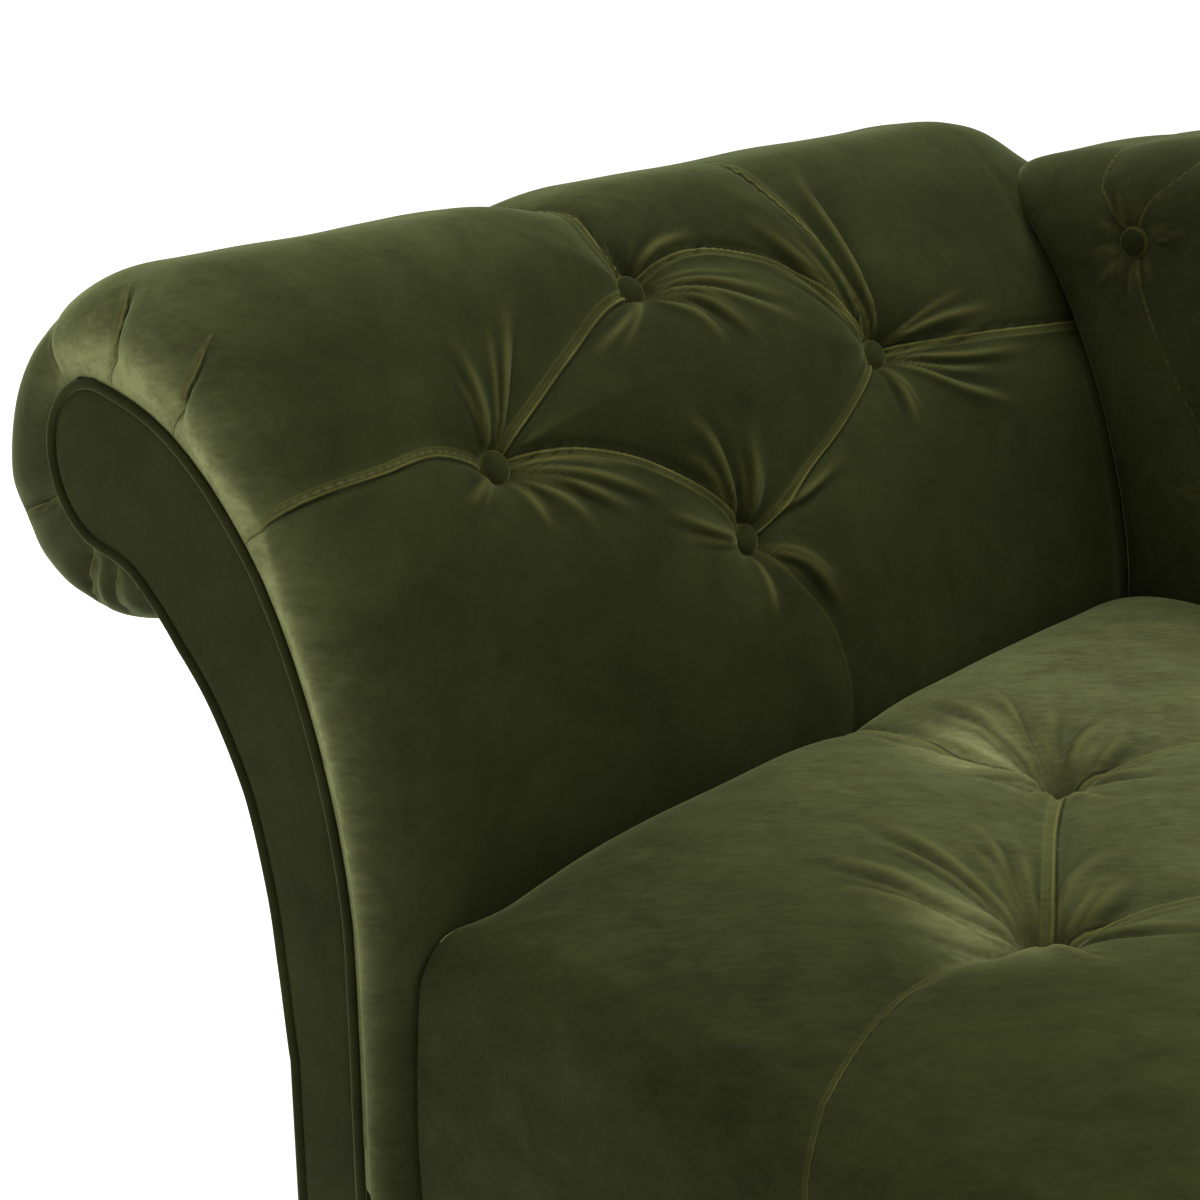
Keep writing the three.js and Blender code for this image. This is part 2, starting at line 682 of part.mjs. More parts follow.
function seatRing(x) {
  const ring = [];
  const pulls = [];
  const put = (y, z, pull) => {
    ring.push(new THREE.Vector3(x, y, z));
    pulls.push(pull);
  };
  put(seatDepth - gap, padBase, 0);
  put(0, padBase, 0);
  for (const share of frontFaceShares) {
    const z = padBase + (seatEdgeHeight - seatEdgeRadius - padBase) * share;
    const pull = sewnDepth(x, z - seatEdgeHeight, [], seatPleats, seatPleat, seatButton) * (1 - share / 2);
    put(pull / 2, z, pull / 2);
  }
  for (let i = 0; i < edgeArcSteps; i++) {
    const angle = (Math.PI / 2) * (i / edgeArcSteps);
    const y = seatEdgeRadius * (1 - Math.cos(angle));
    const z = seatEdgeHeight - seatEdgeRadius * (1 - Math.sin(angle));
    const pull = sewnDepth(x, y, [], seatPleats, seatPleat, seatButton) / 2;
    put(y + pull * Math.cos(angle), z - pull * Math.sin(angle) - footDrop(x) * (i / edgeArcSteps), pull);
  }
  const lastRow = frontMargin + (seatRows - 1) * rowPitch;
  const rows = [
    ...stations(seatEdgeRadius, frontMargin, seatSteps.front),
    ...stations(frontMargin, lastRow, seatSteps.row * (seatRows - 1)),
    ...stations(lastRow, seatDepth - gap, seatSteps.rear),
    seatDepth - gap,
  ];
  for (const y of rows) {
    const pull = sewnDepth(x, y, seatButtons, seatPleats, seatPleat, seatButton);
    put(y, seatTop(x, y) - pull, pull);
  }
  return { ring, pulls };
}

const halfPitch = columnPitch / 2;
const halfColumns = 2 * seatColumns - 1;
const lastColumn = headMargin + halfColumns * halfPitch;
const seatPlan = [
  ...stations(gap, headMargin, seatSteps.end),
  ...stations(headMargin, lastColumn, seatSteps.column * halfColumns),
  ...stations(lastColumn, seatLength - seatEdgeRadius, seatSteps.foot),
  ...footRoundShares.map((share) => seatLength - seatEdgeRadius * (1 - share)),
];
const seatRings = seatPlan.map(seatRing);
const inYZ = (p) => new THREE.Vector2(p.y, p.z);
addPart('seat_pad', loft(seatRings.map((r) => r.ring), inYZ, seatRings.map((r) => r.pulls)), velvet);

// The back's top line: heights over the seat's edge, as shares of the crest and of the back's length
const sweepShares = [
  [0, 0.77],
  [0.02, 0.822],
  [0.045, 0.857],
  [0.09, 0.902],
  [0.15, 0.957],
  [0.246, 1],
  [0.343, 0.98],
  [0.447, 0.86],
  [0.55, 0.655],
  [0.654, 0.45],
  [0.758, 0.3],
  [0.862, 0.21],
  [1, 0.18],
];
const backLength = backStart + seatLength;
const sweep = new THREE.SplineCurve(sweepShares.map(([along, rise]) => {
  return new THREE.Vector2(-backStart + along * backLength, seatEdgeHeight + rise * backCrest);
}));
const sweepTable = sweep.getPoints(240);
function backTop(x) {
  const next = sweepTable.findIndex((p) => p.x >= x);
  if (next <= 0) {
    return sweepTable[next === 0 ? 0 : sweepTable.length - 1].y;
  }
  const [a, b] = [sweepTable[next - 1], sweepTable[next]];
  return THREE.MathUtils.lerp(a.y, b.y, (x - a.x) / (b.x - a.x));
}

// Back buttons go where the back is tall enough to hold them
const backButtons = [];
const backPleats = [];
for (let row = 0; row < 2; row++) {
  const height = backTopRow - row * backRowPitch;
  for (let column = 0; column < 2 * seatColumns; column++) {
    const x = backFirstButton + (column + row / 2) * backPitch;
    if (x < seatLength && backTop(x) - seatEdgeHeight > height + backButtonClearance) {
      backButtons.push([x, seatEdgeHeight + height]);
    }
  }
}
for (const [x, z] of backButtons) {
  for (const [bx, bz] of backButtons) {
    if (bz < z && Math.abs(bx - x) < backPitch * neighbourShare) {
      backPleats.push([x, z, bx, bz]);
    }
  }
  const upper = z > seatEdgeHeight + backTopRow - backRowPitch / 2;
  const covered = backButtons.some(([bx, bz]) => bz > z && bx > x);
  if (upper || !covered) {
    backPleats.push([x, z, x, backTop(x) + backThickness]);
  }
  if (!upper) {
    backPleats.push([x, z, x, padBase]);
  }
}

function backRing(x) {
  const ring = [];
  const pulls = [];
  const top = backTop(x);
  const put = (y, z, pull) => {
    ring.push(new THREE.Vector3(x, y, z));
    pulls.push(pull);
  };
  const under = Math.max(top - backTopPadding, padBase + gap);
  const rear = backFrameRear + coverThickness;
  put(backFrameFront - gap, padBase, 0);
  put(backFace, padBase, 0);
  const radius = Math.min(backTopRadius, (top - padBase) / 2);
  const faceTop = top - radius;
  for (let i = 1; i <= backSteps.face; i++) {
    const z = padBase + ((faceTop - padBase) * i) / backSteps.face;
    const pull = sewnDepth(x, z, backButtons, backPleats, backPleat, backButton);
    put(backFace + pull, z, pull);
  }
  for (let i = 1; i <= backSteps.top; i++) {
    const angle = (Math.PI / 2) * (i / backSteps.top);
    const pull = sewnDepth(x, faceTop + radius * angle, backButtons, backPleats, backPleat, backButton) / 2;
    const y = backFace + radius * (1 - Math.cos(angle));
    put(y + pull * Math.cos(angle), faceTop + radius * Math.sin(angle) - pull * Math.sin(angle), pull);
  }
  for (const [inward, drop] of backRearShares) {
    put(rear - radius * inward, top - radius * drop, 0);
  }
  put(rear, top - backRearDrop, 0);
  put(rear, under, 0);
  put(backFrameFront - gap, under, 0);
  return { ring, pulls };
}
const backColumns = Math.floor((seatLength - backFirstButton) / backPitch);
const backLastColumn = backFirstButton + backColumns * backPitch;
const backPlan = [
  ...stations(-backStart, backFirstButton, backSteps.head),
  ...stations(backFirstButton, backLastColumn, backSteps.column * backColumns),
  backLastColumn,
  seatLength,
];
const backRings = backPlan.map(backRing);
const backSolid = solidOf(loft(backRings.map((r) => r.ring), inYZ, backRings.map((r) => r.pulls)));

// The back's head end is cut to the arm's own shape, a hair clear of it.
function clearRing([y, fullness]) {
  const ring = [...stations(0, armGirth, railSteps), armGirth].map((girth) => {
    const { p, out } = armPoint(girth);
    return nearestOnPanel(p).clone().lerp(p, fullness).addScaledVector(out, 2 * gap);
  });
  ring[0].y = padBase - overrun;
  ring.push(new THREE.Vector2(-scrollLean - headReach, padBase - overrun));
  return ring.map((p) => new THREE.Vector3(p.x, y, p.y));
}
const pastRear = [backFrameRear + overrun, armRearShares[0][1]];
const clearRings = [[0, 1], ...armRearPlan, pastRear].map(clearRing);
const noPulls = clearRings.map((ring) => ring.map(() => 0));
const armEnvelope = solidOf(loft(clearRings, inXZ, noPulls));
addPart('back_pad', geometryOf(backSolid.subtract(armEnvelope)), velvet);

// Frame of the back: posts stand behind the rear rail and carry the curved top rail
function topRailBottom(x) {
  return backTop(x) - backTopPadding - backRailClearance - backRailHeight;
}
const railStations = [...stations(gap, footRailFoot, railSteps), footRailFoot];
const topRail = [
  ...railStations.map((x) => new THREE.Vector2(x, backTop(x) - backTopPadding - backRailClearance)),
  ...railStations.map((x) => new THREE.Vector2(x, topRailBottom(x))).reverse(),
];
addPart('back_top_rail', plateAlongY(topRail, backFrameFront, backFrameRear), timber);
const postPlaces = [
  ['head', gap],
  ['middle', seatLength * middlePostShare],
  ['foot', footRailFoot - postWidth],
];
for (const [name, x] of postPlaces) {
  const tops = [...stations(x, x + postWidth, postTopSteps), x + postWidth];
  const outline = [
    new THREE.Vector2(x, legHeight),
    new THREE.Vector2(x + postWidth, legHeight),
    ...tops.map((px) => new THREE.Vector2(px, topRailBottom(px) - backRailClearance)).reverse(),
  ];
  addPart(`back_post_${name}`, plateAlongY(outline, backFrameFront, backFrameRear), timber);
}

// Covers
addPart('back_outside_cover', plateAlongY([
  new THREE.Vector2(-neckCentre + neckHalfWidth + gap, legHeight),
  new THREE.Vector2(footRailFoot, legHeight),
  ...[...stations(-innerPadding + gap, footRailFoot, railSteps), footRailFoot].reverse().map((x) => {
    return new THREE.Vector2(x, backTop(x) - backTopPadding - backRailClearance);
  }),
], backFrameRear + gap, backFrameRear + gap + coverThickness - gap), velvet);
addPart('front_border', boxBetween(
  -innerPadding + gap, footRailFoot, -borderProud, borderThickness, legHeight, padBase - gap,
), velvet);
addPart('foot_border', boxBetween(
  footRailFoot + gap, footRailFoot + gap + borderThickness, -borderProud,
  backFrameRear + coverThickness, legHeight, padBase - gap,
), velvet);
addPart('back_foot_panel', boxBetween(
  footRailFoot + gap, seatLength, backFrameFront, backFrameRear,
  padBase, backTop(seatLength) - backTopPadding - backRailClearance,
), velvet);
const dustSheet = solidOf(boxBetween(
  frameOuter, footRailFoot, frontRailFront, backFrameRear,
  legHeight - gap - dustClothThickness, legHeight - gap,
));
const legHoles = legCentres.map(([x, y]) => {
  const hole = new THREE.CylinderGeometry(legTopRadius + gap, legTopRadius + gap, overrun, legSides);
  return solidOf(hole.rotateX(Math.PI / 2).translate(x, y, legHeight));
});
addPart('dust_cover', geometryOf(legHoles.reduce((sheet, hole) => sheet.subtract(hole), dustSheet)), cloth);

// Stand the couch with its footprint's centre over the origin.
const bounds = new THREE.Box3().setFromObject(couch);
couch.position.set(-(bounds.min.x + bounds.max.x) / 2, -(bounds.min.y + bounds.max.y) / 2, -bounds.min.z);
const part = new THREE.Group();
part.add(couch);
export default part;
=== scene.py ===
"""Looks of the fainting couch: velvet pads with sewn tufts, covers, turned legs, frame materials and light.

Lengths are in millimetres in the couch's own layout until they are placed: x from the line where
the arm meets the seat, y from the seat's front face, z from the floor. place() turns them into
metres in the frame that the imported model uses.
"""

import math

import bpy
import bmesh
import numpy as np
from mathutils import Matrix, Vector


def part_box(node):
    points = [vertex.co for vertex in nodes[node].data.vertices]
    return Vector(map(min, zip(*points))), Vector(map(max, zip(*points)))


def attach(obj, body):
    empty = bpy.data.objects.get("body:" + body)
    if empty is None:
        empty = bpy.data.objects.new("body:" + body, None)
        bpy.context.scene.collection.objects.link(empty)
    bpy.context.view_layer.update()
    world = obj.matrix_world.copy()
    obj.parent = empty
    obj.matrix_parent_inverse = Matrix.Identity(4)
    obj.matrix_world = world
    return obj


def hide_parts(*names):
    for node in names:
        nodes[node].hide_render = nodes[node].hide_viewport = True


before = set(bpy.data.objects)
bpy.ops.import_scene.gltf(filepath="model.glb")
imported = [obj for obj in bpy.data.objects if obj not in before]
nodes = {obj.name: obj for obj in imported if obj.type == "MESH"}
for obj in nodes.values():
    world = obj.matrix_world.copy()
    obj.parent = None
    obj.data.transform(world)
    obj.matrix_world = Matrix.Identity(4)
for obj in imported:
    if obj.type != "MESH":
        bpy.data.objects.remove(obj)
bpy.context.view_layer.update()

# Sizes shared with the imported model
MM = 0.001
GAP = 0.3
SEAT_EDGE = 455.0
SEAT_DEPTH = 604.0
SEAT_LENGTH = 1393.0
SEAT_CROWN = 24.0
EDGE_RADIUS = 26.0
PAD_BASE = 291.2
LEG_HEIGHT = 150.0
BACK_FACE = 604.3
BACK_FRONT_TIMBER = 702.3
BACK_REAR = 730.3
NECK_CENTRE = 53.5
NECK_HALF = 25.5
SCROLL_LEAN = 149.5
SCROLL_RISE = 188.0
HEAD_RADIUS = 44.0
HEAD_REACH = 177.5
ARM_RISE = 288.0
BACK_CREST = 322.0
BACK_START = 150.0
BACK_TOP_PADDING = 45.0

ORIGIN = np.array(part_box("seat_pad")[0]) / MM - np.array([GAP, 0.0, PAD_BASE])


def place(points):
    return (np.asarray(points, float) + ORIGIN) * MM


# Camera: the photograph's place and angle
CAMERA_PLACE = (682.1, -589.6, SEAT_EDGE + 511.5)
CAMERA_PITCH = 20.8
CAMERA_TURN = 43.8
CAMERA_LENS = 67.26
SENSOR = 36.0
camera_data = bpy.data.cameras.new("camera")
camera_data.lens = CAMERA_LENS
camera_data.sensor_width = SENSOR
camera_data.clip_start = 0.05
camera = bpy.data.objects.new("camera", camera_data)
camera.location = place(CAMERA_PLACE)
camera.rotation_euler = (math.radians(90 - CAMERA_PITCH), 0, math.radians(CAMERA_TURN))
bpy.context.scene.collection.objects.link(camera)
bpy.context.scene.camera = camera


# Lines and outlines
def spline(points, steps):
    """A smooth line that passes through the points, its ends repeated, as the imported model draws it."""
    p = np.asarray(points, float)
    p = np.vstack([p[:1], p, p[-1:]])
    out = []
    for i in range(1, len(p) - 2):
        a, b, c, d = p[i - 1 : i + 3]
        t = np.linspace(0, 1, steps, endpoint=False)[:, None]
        v0, v1 = (c - a) / 2, (d - b) / 2
        out.append((2 * b - 2 * c + v0 + v1) * t**3 + (-3 * b + 3 * c - 2 * v0 - v1) * t**2 + v0 * t + b)
    return np.vstack([*out, p[-1:]])


def unit(steps):
    return steps / np.maximum(np.hypot(steps[..., 0], steps[..., 1]), 1e-9)[..., None]


class Line:
    """A line in a plane, read by its length."""

    def __init__(self, points):
        self.points = np.asarray(points, float)
        steps = np.hypot(*np.diff(self.points, axis=0).T)
        self.runs = np.concatenate([[0], np.cumsum(steps)])
        self.length = self.runs[-1]

    def at(self, run):
        return np.stack([np.interp(run, self.runs, self.points[:, k]) for k in (0, 1)], -1)

    def out(self, run, reach=4.0):
        ahead = self.at(np.clip(run + reach, 0, self.length))
        behind = self.at(np.clip(run - reach, 0, self.length))
        along = unit(ahead - behind)
        return np.stack([along[..., 1], -along[..., 0]], -1)


SCROLL = [
    (-0.165, 0.02), (0.053, 0.044), (0.319, 0.124), (0.559, 0.264),
    (0.734, 0.424), (0.878, 0.612), (0.963, 0.792), (1, 1),
]
SCROLL_WIDTHS = [0, 0.17, 0.29, 0.4, 0.66, 0.93, 1, 1, 1]
RAIL_TOP = 284.0


def scroll_outline(grow, bottom, steps=56, head_steps=32):
    """The timber scroll's outline in x and z, from its inside foot over the head to its outside foot."""
    knots = [(-NECK_CENTRE, (SEAT_EDGE + RAIL_TOP) / 2)]
    knots += [(-NECK_CENTRE - lean * SCROLL_LEAN, SEAT_EDGE + rise * SCROLL_RISE) for rise, lean in SCROLL]
    per_span = steps // (len(knots) - 1)
    centre = spline(knots, per_span)
    along = np.gradient(centre, axis=0)
    along[0] = (0, 1)
    along = unit(along)
    t = np.linspace(0, len(SCROLL_WIDTHS) - 1, len(centre))
    share = np.interp(t, range(len(SCROLL_WIDTHS)), SCROLL_WIDTHS)
    half = NECK_HALF + (HEAD_RADIUS - NECK_HALF) * share + grow
    side = np.stack([along[:, 1], -along[:, 0]], -1) * half[:, None]
    start = math.atan2(-along[-1, 0], along[-1, 1])
    turn = start + np.pi * np.arange(1, head_steps) / head_steps
    head = centre[-1] + (HEAD_RADIUS + grow) * np.stack([np.cos(turn), np.sin(turn)], -1)
    inner = np.vstack([[-NECK_CENTRE + NECK_HALF + grow, bottom], centre + side])
    outer = np.vstack([[-NECK_CENTRE - NECK_HALF - grow, bottom], centre - side])
    return inner, head, outer[::-1]


def closed_scroll(grow, bottom):
    return np.vstack(scroll_outline(grow, bottom))


ARM_SECTION = [
    (0, 0, 0), (0.105, -0.0366, 0.215), (0.25, -0.058, 0.417), (0.444, -0.098, 0.583), (0.717, -0.171, 0.743),
    (0.95, -0.168, 0.889), (1, -0.054, 0.965), (1, 0.088, 1), (1, 0.285, 0.983), (1, 0.453, 0.955),
    (1, 0.633, 0.896), (1, 0.803, 0.809), (1, 0.926, 0.705), (1, 0.994, 0.583), (1, 1, 0.486),
    (1, 0.926, 0.403), (1, 0.792, 0.344), (1, 0.623, 0.319), (1, 0.442, 0.323), (1, 0.296, 0.351),
    (1, 0.211, 0.401),
]
arm_knots = [(0, PAD_BASE)]
for lean, reach, rise in ARM_SECTION:
    arm_knots.append((-lean * SCROLL_LEAN - reach * HEAD_REACH, SEAT_EDGE + rise * ARM_RISE))
arm_line = Line(np.minimum(spline(arm_knots, 40), [0, 1e9]))

SWEEP = [
    (0, 0.77), (0.02, 0.822), (0.045, 0.857), (0.09, 0.902), (0.15, 0.957), (0.246, 1), (0.343, 0.98),
    (0.447, 0.86), (0.55, 0.655), (0.654, 0.45), (0.758, 0.3), (0.862, 0.21), (1, 0.18),
]
BACK_RUN = BACK_START + SEAT_LENGTH
sweep_line = spline([(-BACK_START + a * BACK_RUN, SEAT_EDGE + r * BACK_CREST) for a, r in SWEEP], 20)


def back_top(x):
    return np.interp(x, sweep_line[:, 0], sweep_line[:, 1])


# Meshes
SLAB_EDGE = 76.0


def grid_faces(rows, columns, offset=0):
    r, c = np.meshgrid(np.arange(rows - 1), np.arange(columns - 1), indexing="ij")
    a = offset + r * columns + c
    return np.stack([a, a + columns, a + columns + 1, a + 1], -1).reshape(-1, 4).tolist()


def ring_faces(rings, count):
    """Faces round a stack of rings of points, and one at each end."""
    ring = np.arange(count)
    faces = []
    for k in range(rings - 1):
        a, b = k * count + ring, k * count + np.roll(ring, -1)
        faces += np.stack([a, b, b + count, a + count], -1).tolist()
    return [*faces, ring[::-1].tolist(), (ring + (rings - 1) * count).tolist()]


def build(name, points, faces, material, node=None, sharp=None, attributes=None):
    """A piece of the couch. It stands for the node, and edges beyond the sharp angle are shaded as edges."""
    mesh = bpy.data.meshes.new(name)
    mesh.from_pydata(place(points).tolist(), [], faces)
    for key, values in (attributes or {}).items():
        layer = mesh.attributes.new(key, "FLOAT", "POINT")
        layer.data.foreach_set("value", np.asarray(values, np.float32))
    work = bmesh.new()
    work.from_mesh(mesh)
    bmesh.ops.recalc_face_normals(work, faces=work.faces)
    work.to_mesh(mesh)
    work.free()
    mesh.shade_smooth()
    if sharp:
        mesh.set_sharp_from_angle(angle=math.radians(sharp))
    mesh.materials.append(material)
    piece = bpy.data.objects.new(name, mesh)
    bpy.context.scene.collection.objects.link(piece)
    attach(piece, "root")
    if node:
        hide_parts(node)
    return piece


def slab(outer, inner, step):
    """A closed body from a fine outer grid and a coarse inner one: points, faces, number of inner points."""
    rows, columns = outer.shape[:2]
    picks_r = sorted({*range(0, rows, step), rows - 1})
    picks_c = sorted({*range(0, columns, step), columns - 1})
    coarse = inner[np.ix_(picks_r, picks_c)].reshape(-1, 3)
    offset = rows * columns
    faces = grid_faces(rows, columns)
    faces += [f[::-1] for f in grid_faces(len(picks_r), len(picks_c), offset)]
    fine = np.arange(offset).reshape(rows, columns)
    rough = offset + np.arange(len(coarse)).reshape(len(picks_r), -1)
    for end in (0, -1):
        for i, (a, b) in enumerate(zip(picks_r, picks_r[1:])):
            faces.append([int(k) for k in (*fine[a : b + 1, end], rough[i + 1, end], rough[i, end])])
    for end in (0, -1):
        for j, (a, b) in enumerate(zip(picks_c, picks_c[1:])):
            faces.append([int(k) for k in (*fine[end, a : b + 1], rough[end, j + 1], rough[end, j])])
    return np.vstack([outer.reshape(-1, 3), coarse]), faces, len(coarse)


def ticks(*spans):
    """Values from span to span, each span (from, to, step) cut evenly."""
    parts = [np.linspace(a, b, max(1, round(abs(b - a) / step)), endpoint=False) for a, b, step in spans]
    return np.concatenate([*parts, [spans[-1][1]]])


# Sewing
def ease(value, low, high):
    t = np.clip((value - low) / (high - low), 0, 1)
    return t * t * (3 - 2 * t)


def pillow(share):
    """1 at a seam, falling to 0 at the pillow's middle, steep at the seam as stuffed cloth is."""
    return 0.5 * fallen(share, 1) + 0.5 * (1 - np.clip(share, 0, 1)) ** 2


def fallen(distance, width):
    """How far a rounded edge has fallen: 1 at the edge, 0 a width away from it."""
    s = 1 - np.clip(distance / width, 0, 1)
    return 1 - np.sqrt(np.maximum(0, 1 - s * s))


def mark(place, strength, at, width):
    """A soft mark, strongest at one place."""
    return strength * np.exp(-(((place - at) / width) ** 2))


def raise_to(field, near, values):
    field[near] = np.maximum(field[near], values)


def blur(field, passes):
    for _ in range(passes):
        p = np.pad(field, 1, mode="edge")
        field = (4 * field + p[:-2, 1:-1] + p[2:, 1:-1] + p[1:-1, :-2] + p[1:-1, 2:]) / 8
    return field


# Cross-sections of a fold, as (places, rises) in widths and heights: the steep side leaves a gap
BAND = ([-1.3, -0.64, -0.42, 0.0, 0.45, 0.62, 0.8, 1.5], [0.0, 0.72, 1.0, 0.8, 1.1, 0.5, -1.2, 0.0])
RIDGE = ([-1.8, -0.9, -0.3, 0.1, 0.5, 0.9, 1.8], [0.0, 0.4, 0.95, 1.0, 0.1, -0.5, 0.0])
FAR = 60.0

# A fold's painted highlight on its ridge and painted shade in its gap, as (strength, place, width) in the
# fold's widths
FOLD_RIDGE_HIGHLIGHT = (0.42, -0.1, 0.35)
FOLD_GAP_SHADE = (0.7, 0.75, 0.28)

# The lesser fold beside each fold, in shares of it, and how far it leans away
BESIDE_LENGTH, BESIDE_LEAN, BESIDE_WIDTH, BESIDE_HEIGHT = 0.8, 0.15, 0.75, 0.55
BUTTON_DIP = 13.0


class Cloth:
    """The relief of one pad's cloth, over the cloth's own two coordinates."""

    def __init__(self, u, v):
        self.u, self.v = u, v
        self.valley, self.bowl, self.ridge, self.hollow = (np.zeros(u.shape) for _ in range(4))
        self.edge, self.gap, self.band_shown, self.thread_run = (np.zeros(u.shape) for _ in range(4))
        self.band_across, self.thread_gap = (np.full(u.shape, FAR) for _ in range(2))
        # Painted shade taken off the relief's painted light, none unless a pad sets it
        self.painted_shade = 0.0

    def gauge(self, points, reach):
        """The places within reach of a line, their distance, side and run, and the line's length."""
        line = spline(points, 6) if len(points) > 2 else np.asarray(points, float)
        low, high = line.min(0) - reach, line.max(0) + reach
        near = (self.u > low[0]) & (self.u < high[0]) & (self.v > low[1]) & (self.v < high[1])
        u, v = self.u[near], self.v[near]
        best = np.full(u.shape, 1e9)
        side = np.ones(u.shape)
        run = np.zeros(u.shape)
        done = 0.0
        for start, step in zip(line, np.diff(line, axis=0)):
            length = np.hypot(*step)
            au, av = u - start[0], v - start[1]
            t = np.clip((au * step[0] + av * step[1]) / length**2, 0, 1)
            ou, ov = au - t * step[0], av - t * step[1]
            distance = np.hypot(ou, ov)
            closer = distance < best
            best = np.where(closer, distance, best)
            side = np.where(closer, np.sign(step[0] * ov - step[1] * ou), side)
            run = np.where(closer, done + t * length, run)
            done += length
        return near, best, side, run, done

    def relief(self, near, across, section, height):
        rise = np.interp(across, *section) * height
        raise_to(self.ridge, near, rise)
        self.hollow[near] = np.minimum(self.hollow[near], rise)

    def crease(self, near, across, shown):
        """A painted highlight on a soft fold's ridge and painted shade in the gap beside it."""
        raise_to(self.edge, near, mark(across, *FOLD_RIDGE_HIGHLIGHT) * shown)
        raise_to(self.gap, near, mark(across, *FOLD_GAP_SHADE) * shown)

    def lay_band(self, near, across, shown):
        """Where the nearest band lies, in its own widths, for the material to paint highlights along its
        edges and shade in its gap.
        """
        closer = np.abs(across) < np.abs(self.band_across[near])
        self.band_across[near] = np.where(closer, across, self.band_across[near])
        masked = shown * (np.abs(across) < 1.6)
        self.band_shown[near] = np.where(closer, masked, self.band_shown[near])

    def seam(self, points, depths, reach, band=0.0, lift=2.0, lay=1, sharp=1.0, thread=False):
        """Cloth drawn down along a line to its depths at the start, middle and end, a band folded over it."""
        near, distance, side, run, total = self.gauge(points, reach)
        share = run / total
        start, middle, end = depths
        edge = np.where(share < 0.5, start, end)
        here = middle + (edge - middle) * np.abs(2 * share - 1) ** 2.2
        raise_to(self.valley, near, here * pillow(distance / reach))
        if band:
            across = distance * side * lay / (band * (0.4 + 0.6 * ease(here, 0, 9)))
            shown = ease(here, 0.6, 5)
            self.relief(near, across, BAND, lift * shown)
            self.lay_band(near, across, sharp * shown)
        if thread:
            closer = distance < self.thread_gap[near]
            self.thread_gap[near] = np.where(closer, distance, self.thread_gap[near])
            self.thread_run[near] = np.where(closer, run, self.thread_run[near])

    def fold(self, points, width, height, lay=1):
        """A fold that opens out from a button: narrow and crisp beside it, wide and faint at its end."""
        near, distance, side, run, total = self.gauge(points, 2 * width)
        shown = ease(run, 2, 26) * (1 - ease(run / total, 0.45, 1))
        grown = width * (0.25 + 0.75 * run / total)
        across = distance * side * lay / grown
        self.relief(near, across, RIDGE, height * shown)
        self.crease(near, across, 0.8 * shown)

    def tuft(self, place, depth, reach, folds, width, height, seed=None):
        """A button's dimple, with folds given as lines from the button, varied when there is a seed."""
        u, v = place
        near = (np.abs(self.u - u) < reach) & (np.abs(self.v - v) < reach)
        r = np.hypot(self.u[near] - u, self.v[near] - v)
        wide_dip = 0.5 * np.maximum(0, 1 - r / reach) ** 2
        raise_to(self.bowl, near, depth * (wide_dip + mark(r, 0.5, 0, BUTTON_DIP)))
        rng = np.random.default_rng(seed or 0)
        vary = 0 if seed is None else 1
        for k, line in enumerate(folds):
            turn = vary * rng.normal(0, 0.10)
            size = 1 + vary * rng.uniform(-0.2, 0.2)
            bulk = 1 + vary * rng.uniform(-0.25, 0.15)
            c, s = size * math.cos(turn), size * math.sin(turn)
            points = [(u, v)] + [(u + a * c - b * s, v + a * s + b * c) for a, b in line]
            points.append(tuple(1.35 * np.array(points[-1]) - 0.35 * np.array(points[-2])))
            lay = 1 if k % 2 else -1
            self.fold(points, width, height * bulk, lay)
            beside = []
            for a, b in points:
                a, b = a - u, b - v
                along = BESIDE_LENGTH * a - BESIDE_LEAN * b
                over = BESIDE_LENGTH * b + BESIDE_LEAN * a
                beside.append((u + along, v + over))
            self.fold(beside, BESIDE_WIDTH * width, BESIDE_HEIGHT * height * bulk, lay)

    def height(self, waves, seed):
        deep = np.maximum(self.valley, self.bowl) + 0.35 * np.minimum(self.valley, self.bowl)
        return blur(self.ridge + self.hollow, 1) - deep + ripple(self.u, self.v, waves, seed)

    def attributes(self, height, pale, hidden, brush):
        """What the velvet reads: each field on the shown side, with its value on the hidden side."""
        # Among these fields are the relief's painted light and shade, the painted sheen, and each fold's
        # painted ridge highlight and gap shade.
        fields = {
            "fold_shading": (fold_shading_of(height) - self.painted_shade, 0.3),
            "pale": (pale, 0.0),
            "edge": (self.edge, 0.0),
            "gap": (self.gap, 0.0),
            "band_shown": (self.band_shown, 0.0),
            "band_across": (np.clip(self.band_across, -3, 3), 3.0),
            "thread_gap": (self.thread_gap, FAR),
            "thread_run": (self.thread_run, 0.0),
        }
        out = {key: np.append(shown, np.full(hidden, rest)) for key, (shown, rest) in fields.items()}
        out["brush"] = np.full(len(out["fold_shading"]), brush)
        return out


def fan(count, length, seed):
    """Lines from a button, spread evenly all round it and slightly bent."""
    rng = np.random.default_rng(seed)
    lines = []
    for k in range(count):
        angle = math.radians(360 * ((k + 0.5) / count - 0.5) + rng.normal(0, 360 / count / 5))
        far = length * rng.uniform(0.6, 1.15)
        bend = rng.normal(0, 0.15)
        turns = [(r, angle + bend * r / far) for r in (9, far / 2, far)]
        lines.append([(r * math.cos(a), r * math.sin(a)) for r, a in turns])
    return lines


def ripple(u, v, waves, seed):
    """A soft unevenness of the stuffing, the same every run."""
    rng = np.random.default_rng(seed)
    total = np.zeros(u.shape)
    for length, height in waves:
        for _ in range(3):
            a = rng.uniform(0, 2 * np.pi)
            phase = (u * math.cos(a) + v * math.sin(a)) * 2 * np.pi / length + rng.uniform(0, 6.28)
            total += height * np.sin(phase) / 3
    return total


def fold_shading_of(height):
    """Painted light and shade from the relief: 1 on a fold's ridge, painted as a highlight, 0 in its hollow,
    painted as shade.
    """
    fine = height - blur(height, 10)
    broad = blur(height, 8) - blur(height, 70)
    return np.clip(0.5 + 0.11 * fine + 0.03 * broad, 0, 1)


